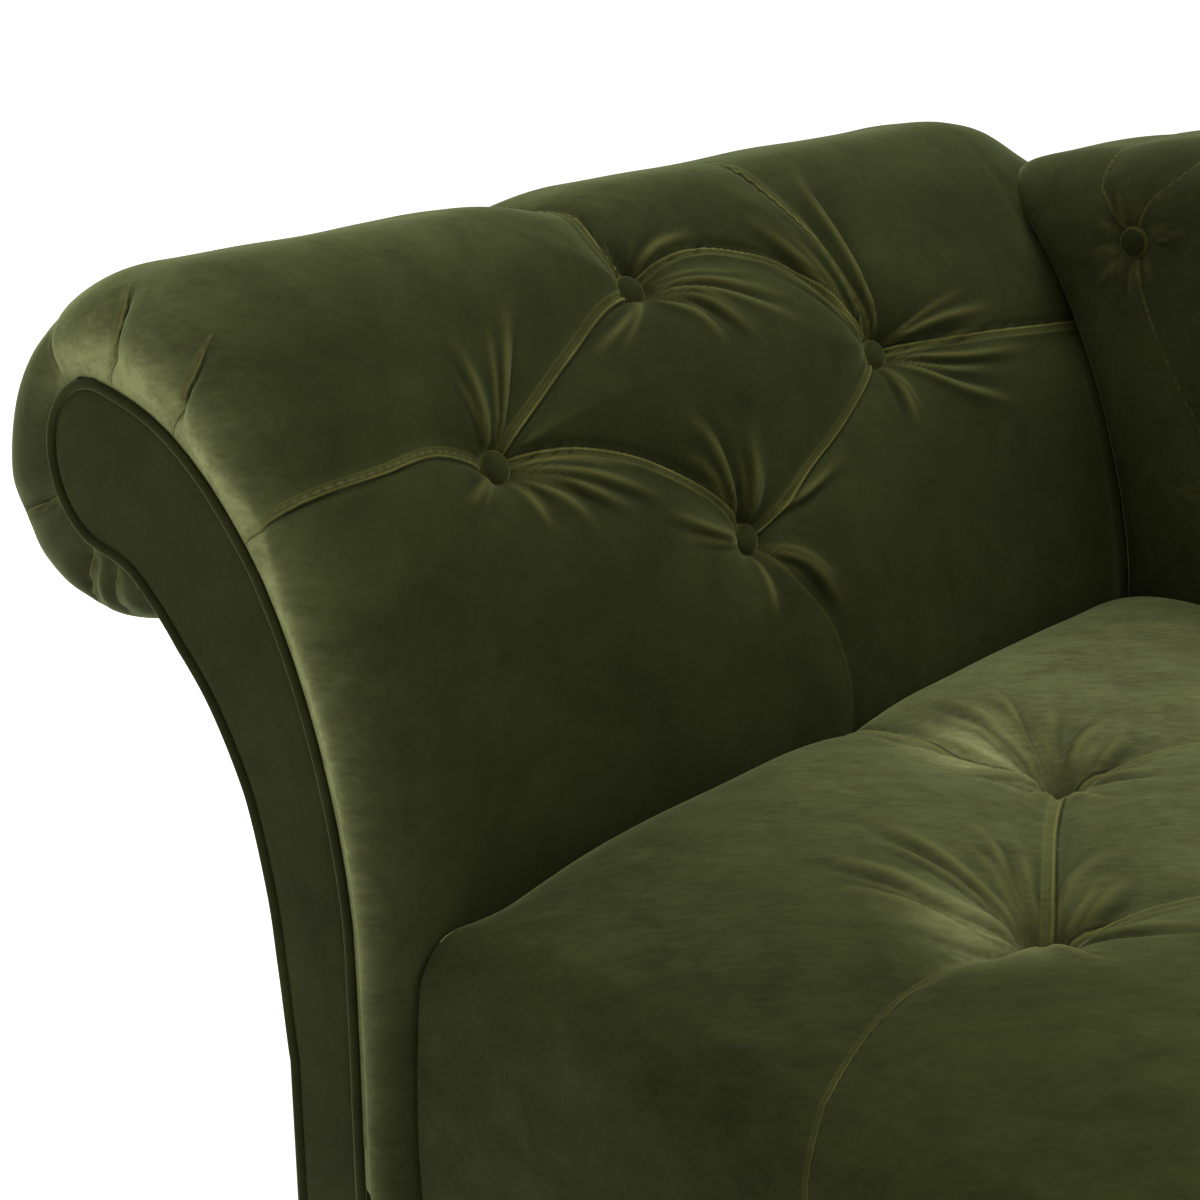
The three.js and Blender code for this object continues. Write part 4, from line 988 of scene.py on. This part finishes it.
def seat_pad():
    face = SEAT_EDGE - EDGE_RADIUS - PAD_BASE
    arc = EDGE_RADIUS * np.pi / 2
    foot_turn = SEAT_LENGTH - EDGE_RADIUS
    foot_end = foot_turn + arc + face
    x = ticks((0.6, 8, 1.5), (8, 300, 2.0), (300, 500, 3.2), (500, foot_turn, 5.5), (foot_turn, foot_end, 5))
    front_turn = EDGE_RADIUS - arc
    front_end = front_turn - face
    y = ticks((front_end, front_turn, 3.6), (front_turn, 60, 2.2), (60, 400, 2.0), (400, SEAT_DEPTH - 1, 3.2))
    u, v = np.meshgrid(x, y, indexing="ij")
    past_foot = np.maximum(0, u - foot_turn)
    past_front = np.maximum(0, EDGE_RADIUS - v)
    past = np.maximum(past_foot, past_front)
    length = np.maximum(np.hypot(past_foot, past_front), 1e-9)
    to_foot, to_front = past_foot / length, past_front / length
    turn = np.minimum(past / EDGE_RADIUS, np.pi / 2)
    outward = EDGE_RADIUS * np.sin(turn)
    down = EDGE_RADIUS * (1 - np.cos(turn)) + np.maximum(0, past - arc)
    from_edge = np.minimum(v, SEAT_LENGTH - u)
    crown = SEAT_CROWN * np.sin(np.clip(from_edge / 160, 0, 1) * np.pi / 2) ** 0.8 + SEAT_LIFT
    crown -= 24 * fallen(u, 60) * ease(v, -10, 60)
    crown -= 22 * fallen(SEAT_DEPTH - v, 50)
    cloth = seat_cloth(u, v)
    fade = np.where(past > arc, 0.55, 1 - 0.45 * past / arc)
    height = cloth.height(SEAT_STUFFING, 9) * fade
    height *= 1 - ease(past, arc + face - 12, arc + face)
    sin_turn, cos_turn = np.sin(turn), np.cos(turn)
    puff = 3.0 * np.sin(np.pi * np.clip((past - arc) / face, 0, 1)) - 1.0 * (past > 0)
    outer = np.empty((*u.shape, 3))
    outer[..., 0] = np.minimum(u, foot_turn) + to_foot * (outward + (height + puff) * sin_turn)
    outer[..., 1] = np.maximum(v, EDGE_RADIUS) - to_front * (outward + (height + puff) * sin_turn)
    outer[..., 2] = SEAT_EDGE + crown * (1 - sin_turn) - down + height * cos_turn
    inner = outer.copy()
    inner[..., 0] = np.clip(outer[..., 0], 0.6, SEAT_LENGTH - 3)
    inner[..., 1] = np.clip(outer[..., 1], 3, SEAT_DEPTH - 1)
    inner[..., 2] = PAD_BASE + SEAT_PAD_BASE / 2
    outer[..., 2] = np.maximum(outer[..., 2], PAD_BASE + SEAT_PAD_BASE)
    # Painted sheen: paler towards the rear and fading over the foot's rounding, a little paler beside the
    # arm, and a painted highlight patch just in front of each button, towards the head.
    painted_sheen = SEAT_PAINTED_SHEEN * ease(v, 40, 460) * (1 - ease(past_foot, 0, arc))
    painted_sheen += 0.06 * (1 - ease(u, 60, 240)) * ease(v, 0, 60)
    painted_sheen += 0.025 * (1 - ease(u, 60, 200)) * (1 - ease(v, -10, 30))
    for x0, y0, row, column in seat_places():
        across = (u - x0 + (16 if row == 0 else 34)) / 28
        ahead = (v - y0 + 33) / (20 if row == 0 else 26)
        painted_sheen += PATCH_PAINTED_SHEEN / (1 + column % 3) * np.exp(-(across**2) - ahead**2)
    sewn_pad("seat_pad", outer, inner, 14, cloth, height, painted_sheen, 0.45)
    for k, (x0, y0, _, _) in enumerate(seat_places()):
        rise = SEAT_CROWN * math.sqrt(min(1, min(y0, SEAT_LENGTH - x0) / 120)) + SEAT_LIFT
        button(f"seat_button_{k + 1}", (x0, y0, SEAT_EDGE + rise - SEAT_TUFT_DEPTH - 9), (0, 0, 1))


# Back
BACK_PITCH = 156.0
BACK_ROW_PITCH = 140.0
BACK_TOP_ROW = 231.0
BACK_FIRST = -18.0
BACK_RADIUS = 48.0
BACK_TUFT_DEPTH = 11.0
BACK_STUFFING = [(300, 1.5), (140, 0.8), (60, 0.3)]
# A flat share of the painted sheen colour, the same over the whole back
BACK_PALE_SHARE = 0.045
OVER_TOP = 190.0
REAR_RADIUS = 26.0


def back_places():
    places = []
    for row in range(2):
        up = BACK_TOP_ROW - row * BACK_ROW_PITCH
        for column in range(2 * SEAT_COLUMNS):
            x = BACK_FIRST + (column + row / 2) * BACK_PITCH
            if x < SEAT_LENGTH and back_top(x) - SEAT_EDGE > up + 40:
                places.append((x, SEAT_EDGE + up, row))
    return places


def back_cloth(u, v):
    """The back's sewn lines and tufts over its length and its girth from the seat's base over the top."""
    cloth = Cloth(u, v)
    places = back_places()

    def sewn(x, z, steps, depths, reach=30):
        cloth.seam([(x + a, z + b) for a, b in steps], depths, reach, 3.2, 0.8, sharp=0.6, thread=True)

    for k, (x, z, row) in enumerate(places):
        for bx, bz, other in places:
            if other == row + 1 and abs(bx - x) < BACK_PITCH * 0.75:
                side = 1 if bx > x else -1
                steps = [(0, 0), (12 * side, -34), (36 * side, -76), (62 * side, -114), (bx - x, bz - z)]
                sewn(x, z, steps, (6, 2.0, 6))
        if row == 0 or not any(bz > z and bx > x for bx, bz, _ in places):
            sewn(x, z, [(0, 0), (9, 29), (27, 53), (60, 110), (74, OVER_TOP)], (6, 2, 2))
        if row == 0:
            sewn(x, z, [(0, 0), (-21, 27), (-31, 52), (-40, OVER_TOP)], (6, 2, 2))
        else:
            sewn(x, z, [(0, 0), (0, PAD_BASE - z)], (6, 2.4, 3), 34)
        cloth.tuft((x, z), BACK_TUFT_DEPTH, 34, fan(9, 34, 300 + k), 6.0, 1.0)
    return cloth


def back_pad():
    across = ticks((0, 150, 2.2), (150, 330, 3.6), (330, SEAT_LENGTH, 7))[:, None]
    face_steps, top_steps, rear_steps, flat_steps = 140, 26, 12, 12
    near_arm = 1 - ease(across, 0, 240)

    def follow(levels):
        """Columns that lean towards the arm beside them, their depth and height given by their place."""
        x = None
        for _ in range(30):
            y, z = levels(across if x is None else x)
            shifted = across + (np.minimum(arm_inner_x(y, z), 0) - 2) * near_arm
            x = shifted if x is None else 0.5 * x + 0.5 * shifted
        return np.stack(np.broadcast_arrays(x, *levels(x)), -1)

    def rounding(x):
        return np.minimum(BACK_RADIUS, (back_top(x) - PAD_BASE) / 2)

    def on_face(x):
        return BACK_FACE + 0 * x + 0 * rise, PAD_BASE + rise * (back_top(x) - rounding(x) - PAD_BASE)

    def on_round(x):
        y = BACK_FACE + rounding(x) * (1 - np.cos(turn))
        return y, back_top(x) - rounding(x) * (1 - np.sin(turn))

    def on_top(x):
        return flat_y + 0 * x, back_top(x) + 0 * flat_y

    def on_rear(x):
        return turn_y + 0 * x, back_top(x) - REAR_RADIUS * (1 - np.cos(rear_turn))

    rise = np.linspace(0, 1, face_steps)[None, :]
    turn = np.linspace(0, np.pi / 2, top_steps + 1)[None, 1:]
    rear_y = BACK_REAR + 2.4
    start_y = BACK_FACE + BACK_RADIUS
    flat_y = start_y + (rear_y - REAR_RADIUS - start_y) * np.linspace(0, 1, flat_steps)[None, 1:]
    rear_turn = np.linspace(0, np.pi / 2, rear_steps)[None, 1:]
    turn_y = rear_y - REAR_RADIUS * (1 - np.sin(rear_turn))
    face, over, ridge, behind = (follow(levels) for levels in (on_face, on_round, on_top, on_rear))
    last_x = behind[:, -1:, 0]
    last_top = back_top(last_x)
    foot = np.stack([last_x, np.full_like(last_x, rear_y), last_top - BACK_TOP_PADDING + 0.5], -1)
    outer = np.concatenate([face, over, ridge, behind, foot], 1)
    top_run = face[:, -1:, 2]
    top_arc = BACK_RADIUS * np.pi / 2
    run = np.concatenate([
        face[..., 2],
        top_run + BACK_RADIUS * turn,
        top_run + top_arc + flat_y - start_y,
        top_run + top_arc + rear_y - REAR_RADIUS - start_y + REAR_RADIUS * rear_turn,
        top_run + top_arc + rear_y - start_y + REAR_RADIUS,
    ], 1)
    cloth = back_cloth(outer[..., 0].copy(), run)
    height = cloth.height(BACK_STUFFING, 21)
    height *= ease(run, PAD_BASE, PAD_BASE + 30)
    height -= 6 * fallen(across, 20)
    shown = face_steps + top_steps
    height[:, shown:] *= np.linspace(1, 0, outer.shape[1] - shown)
    outer = outer + normals(outer, (0, -0.7, 0.7)) * height[..., None]
    inner = outer.copy()
    inner[:, :shown, 1] = BACK_FRONT_TIMBER - 2
    inner[:, :shown, 2] = np.minimum(outer[:, :shown, 2], last_top - BACK_TOP_PADDING + 1)
    inner[:, shown:, 1] = np.clip(outer[:, shown:, 1], BACK_FRONT_TIMBER - 2, rear_y - 1)
    inner[:, shown:, 2] = last_top - BACK_TOP_PADDING + 0.8
    outer[:, 0, 2] = PAD_BASE + 0.5
    sewn_pad("back_pad", outer, inner, 10, cloth, height, np.full(run.shape, BACK_PALE_SHARE), 0.25)
    for k, (x0, z0, _) in enumerate(back_places()):
        button(f"back_button_{k + 1}", (x0, BACK_FACE + BACK_TUFT_DEPTH - 4, z0), (0, -1, 0))


# Upholstered boards, borders and trim
SHARPEST_INSET = 0.35


def inset(outline, amount):
    """The closed outline drawn in by an amount, corner by corner."""
    turned_on = unit(np.roll(outline, -1, 0) - outline) + unit(outline - np.roll(outline, 1, 0))
    normal = np.stack([-turned_on[:, 1], turned_on[:, 0]], -1)
    across = np.maximum(SHARPEST_INSET, np.hypot(*normal.T) / 2)
    area = (outline[:, 0] * np.roll(outline[:, 1], -1) - outline[:, 1] * np.roll(outline[:, 0], -1)).sum()
    return outline + unit(normal) * (amount * (1 if area > 0 else -1) / across)[:, None]


def plate(node, outline, levels, axis):
    """A board with rounded edges: its outline in two axes, and levels of (inset, place along the third)."""
    rings = []
    for amount, along in levels:
        flat = inset(outline, amount)
        flat[:, 1] = np.maximum(flat[:, 1], outline[:, 1].min() + max(amount, 0))
        rings.append(np.insert(flat, axis, along, 1))
    faces = ring_faces(len(rings), len(outline))
    build(f"{node}_velvet", np.vstack(rings), faces, velvet_plain, node, 50)


def trim_cord(node, path, radius, sides):
    along = np.gradient(path, axis=0)
    along /= np.linalg.norm(along, axis=1)[:, None]
    across = np.cross(along, (0.0, 1.0, 0.0))
    across /= np.maximum(np.linalg.norm(across, axis=1), 1e-9)[:, None]
    other = np.cross(along, across)
    turn = 2 * np.pi * np.arange(sides)[None, :, None] / sides
    ring = across[:, None] * np.cos(turn) + other[:, None] * np.sin(turn)
    points = (path[:, None] + radius * ring).reshape(-1, 3)
    build(f"{node}_velvet", points, ring_faces(len(path), sides), velvet_plain, node)


def cover(name, outside, inside, step, node):
    points, faces, _ = slab(outside, inside, step)
    build(name, points, faces, velvet_plain, node, SLAB_EDGE)


BORDER_CORNER = 3.0
BORDER_STEP = 10


def border(node, low, high, axis):
    """A padded band: a box with rounded corners whose outer face along one axis swells a little."""
    (x0, z0), (x1, z1) = np.delete(low, axis) + BORDER_CORNER, np.delete(high, axis) - BORDER_CORNER
    turn = np.linspace(0, np.pi / 2, 6)
    out = []
    for quarter, (cx, cz) in enumerate(((x1, z1), (x0, z1), (x0, z0), (x1, z0))):
        a = turn + quarter * np.pi / 2
        out.append(np.stack([cx + BORDER_CORNER * np.cos(a), cz + BORDER_CORNER * np.sin(a)], -1))
    ring = np.vstack(out)
    outline = []
    for a, b in zip(ring, np.roll(ring, -1, 0)):
        n = max(1, int(np.hypot(*(b - a)) // BORDER_STEP))
        outline.append(a + (b - a) * (np.arange(n) / n)[:, None])
    a, b = (low[axis], high[axis]) if axis == 0 else (high[axis], low[axis])
    sign = 1 if b > a else -1
    levels = [(0, a), (0, b - sign * 3), (0.8, b - sign * 1.1), (2, b - sign * 0.3), (2.8, b)]
    plate(node, np.vstack(outline), levels, axis)


COVER_HEAD = -23.2
COVER_FOOT = 1382.5
REAR_LIP = 4.5
FOOT_X = 1383.0
WELT_RADIUS = 2.6
WELT_PLACE = -12.9
BOARD_END = (48, 62)
OVER_BOARD = 2.4
COVER_STUFFING = [(320, 1.2), (150, 0.6)]
BACK_COVER_STUFFING = [(420, 1.2), (170, 0.6)]


def arm_covers():
    front = [(0, -GAP), (0, -7.5), (0.8, -9.8), (2.6, -11.4), (6.5, -12.6), (12, -13.2)]
    plate("arm_front_panel", closed_scroll(0, LEG_HEIGHT), front, 1)
    rim = closed_scroll(-WELT_RADIUS, LEG_HEIGHT + WELT_RADIUS)
    trim_cord("arm_front_welt", np.insert(rim, 1, WELT_PLACE, 1), WELT_RADIUS, 14)
    rear = BACK_REAR + GAP
    levels = [(0, rear), (0, rear + 1.2), (0.8, rear + 2.4), (2.6, rear + 3)]
    plate("arm_rear_panel", closed_scroll(REAR_LIP, LEG_HEIGHT), levels, 1)
    _, _, outer = scroll_outline(0, LEG_HEIGHT)
    path = Line(outer[2:])
    run = ticks((0, path.length, 8))
    u, v = np.meshgrid(ticks((1, BACK_REAR - 1, 12)), run, indexing="ij")
    at, normal = path.at(run), path.out(run, 10)
    over_board = 1 - ease(v, *BOARD_END)
    from_end = np.clip(np.minimum(u - 1, BACK_REAR - 1 - u) / 6, 0, 1)
    rounding = 2.6 * (1 - from_end) ** 2 * (1 - 0.6 * over_board)
    rise = 0.6 * ripple(u, v, COVER_STUFFING, 31) - rounding + OVER_BOARD * over_board
    sunk = 4.2 * over_board - 3.8

    def along_board(out):
        return np.stack([at[:, 0] + normal[:, 0] * out, u, at[:, 1] + normal[:, 1] * out], -1)

    cover("arm_outside_velvet", along_board(rise), along_board(sunk), 3, "arm_outside_cover")


def cover_top(x):
    """Where the back's outside cover ends under the padding of the top rail."""
    return back_top(x) - BACK_TOP_PADDING - 1


def back_cover():
    inner, _, _ = scroll_outline(REAR_LIP + GAP, LEG_HEIGHT)
    beside = inner[: np.argmax(inner[:, 1]) + 1]
    span, share = np.meshgrid(np.linspace(0, 1, 118), np.linspace(0, 1, 60), indexing="ij")
    u = COVER_HEAD + span * (COVER_FOOT - COVER_HEAD)
    for _ in range(12):
        top = cover_top(u)
        z = LEG_HEIGHT + share * (top - LEG_HEIGHT)
        start = np.minimum(COVER_HEAD, np.interp(z, beside[:, 1], beside[:, 0]))
        u = 0.5 * u + 0.5 * (start + span * (COVER_FOOT - start))
    edge = np.minimum(np.minimum(u - start, COVER_FOOT - u), np.minimum(z - LEG_HEIGHT, top - z))
    rise = 0.5 * ripple(u, z, BACK_COVER_STUFFING, 33) - 2.0 * (1 - np.clip(edge / 8, 0, 1)) ** 2
    outside = np.stack([u, BACK_REAR + 3.0 + rise, z], -1)
    inside = np.stack([u, np.full_like(u, BACK_REAR + GAP), z], -1)
    cover("back_outside_velvet", outside, inside, 6, "back_outside_cover")


def borders():
    top = PAD_BASE - GAP
    border("front_border", (-27.7, -2, LEG_HEIGHT), (FOOT_X, 11.7, top), 1)
    border("foot_border", (FOOT_X + GAP, -2, LEG_HEIGHT), (FOOT_X + 12, BACK_REAR + 3, top), 0)
    top = float(cover_top(SEAT_LENGTH))
    border("back_foot_panel", (FOOT_X + GAP, BACK_FRONT_TIMBER, PAD_BASE), (SEAT_LENGTH, BACK_REAR, top), 0)


# Feet
LEG_PROFILE = [
    (0.0, 0.0), (0.40, 0.0), (0.46, 0.02), (0.5, 0.06), (0.47, 0.1), (0.42, 0.14), (0.47, 0.26), (0.54, 0.38),
    (0.62, 0.5), (0.72, 0.62), (0.83, 0.72), (0.9, 0.78), (0.89, 0.82), (0.8, 0.86), (0.86, 0.885),
    (0.97, 0.91), (1.0, 0.94), (1.0, 0.985), (0.985, 1.0), (0.0, 1.0),
]
LEG_RADIUS = 34.0
GLIDE_PROFILE = [(0, 0), (0.8, 0), (0.95, 0.1), (1, 0.3), (1, 1), (0, 1)]
GLIDE_RADIUS = 12.0
GLIDE_HEIGHT = 5.0
TURNED_EDGE = 40.0


def feet():
    profile = []
    for (r0, h0), (r1, h1) in zip(LEG_PROFILE[:-1], LEG_PROFILE[1:]):
        profile += [(r0 + (r1 - r0) * t, h0 + (h1 - h0) * t) for t in (0, 0.34, 0.67)]
    profile = [profile[0], *profile[3:-2], LEG_PROFILE[-1]]
    up = (0, 0, 1)
    for corner in ("front_head", "front_foot", "rear_head", "rear_foot"):
        leg, glide = f"leg_{corner}", f"glide_{corner}"
        low, high = (np.array(p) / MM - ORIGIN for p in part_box(leg))
        x, y = (low[:2] + high[:2]) / 2
        points, faces = turned(profile, LEG_RADIUS, high[2] - low[2], np.array([x, y, low[2]]), up, 56)
        build(f"{leg}_turned", points, faces, polished, leg, TURNED_EDGE)
        points, faces = turned(GLIDE_PROFILE, GLIDE_RADIUS, GLIDE_HEIGHT, np.array([x, y, 0.0]), up, 40)
        build(f"{glide}_turned", points, faces, plastic, glide, TURNED_EDGE)


# Materials for the frame's own nodes, which stay as they are packed, by how their names start
FRAME_LOOKS = [
    (timber_up, ("arm_front_post", "arm_rear_post", "back_post", "corner_block")),
    (timber_deep, ("arm_tack_rail", "arm_roll_rail", "head_rail", "foot_rail", "seat_stretcher")),
    (board, ("arm_bent_board",)),
    (strapping, ("cross_strap", "long_strap")),
    (lining, ("deck_cloth", "dust_cover")),
    (steel, ("leg_bolt",)),
    (timber, ("",)),
]


def dress_frame():
    for name, node in nodes.items():
        node.data.materials.clear()
        node.data.materials.append(next(look for look, starts in FRAME_LOOKS if name.startswith(starts)))


dress_frame()
arm_pad()
seat_pad()
back_pad()
arm_covers()
back_cover()
borders()
feet()

# Floor and light
FLOOR_HALF = 14.0
floor_mesh = bpy.data.meshes.new("floor")
corners = [(a * FLOOR_HALF, b * FLOOR_HALF, 0) for a, b in ((-1, -1), (1, -1), (1, 1), (-1, 1))]
floor_mesh.from_pydata(corners, [], [(0, 1, 2, 3)])
floor = bpy.data.objects.new("floor", floor_mesh)
bpy.context.scene.collection.objects.link(floor)
pale = Look("floor_pale")
cloudy = pale.noise(0.8, 2, 0.5)
tone = pale.mix(cloudy, (0.93, 0.93, 0.93), (0.95, 0.95, 0.95))
floor_mesh.materials.append(pale.done(tone, pale.span(cloudy, 0, 1, 0.8, 0.9)))
inputs_of(pale.shader, {"Emission Color": (1, 1, 1, 1), "Emission Strength": 0.55})

world = bpy.data.worlds.new("studio")
world.use_nodes = True
tree = world.node_tree
seen = tree.nodes.new("ShaderNodeLightPath").outputs["Is Camera Ray"]
strength = tree.nodes.new("ShaderNodeMapRange")
tree.links.new(seen, strength.inputs["Value"])
inputs_of(strength, {"To Min": 0.6, "To Max": 1.0})
inputs_of(tree.nodes["Background"], {"Color": (1, 1, 1, 1)})
tree.links.new(strength.outputs["Result"], tree.nodes["Background"].inputs["Strength"])
bpy.context.scene.world = world


def soft_light(name, at, target, size, power):
    data = bpy.data.lights.new(name, "AREA")
    data.shape = "RECTANGLE"
    data.size, data.size_y = size
    data.energy = power
    lamp = bpy.data.objects.new(name, data)
    lamp.location = at
    direction = np.asarray(target, float) - np.asarray(at, float)
    yaw = math.atan2(direction[1], direction[0]) - np.pi / 2
    pitch = math.atan2(np.hypot(direction[0], direction[1]), -direction[2])
    lamp.rotation_euler = (pitch, 0, yaw)
    bpy.context.scene.collection.objects.link(lamp)


soft_light("top", (0.1, 0.9, 3.0), (-0.3, 0, 0.45), (2.6, 1.6), 80)
soft_light("key", (-1.9, -1.6, 2.4), (-0.6, 0, 0.6), (1.4, 1.4), 12)

bpy.context.scene.view_settings.view_transform = "Standard"
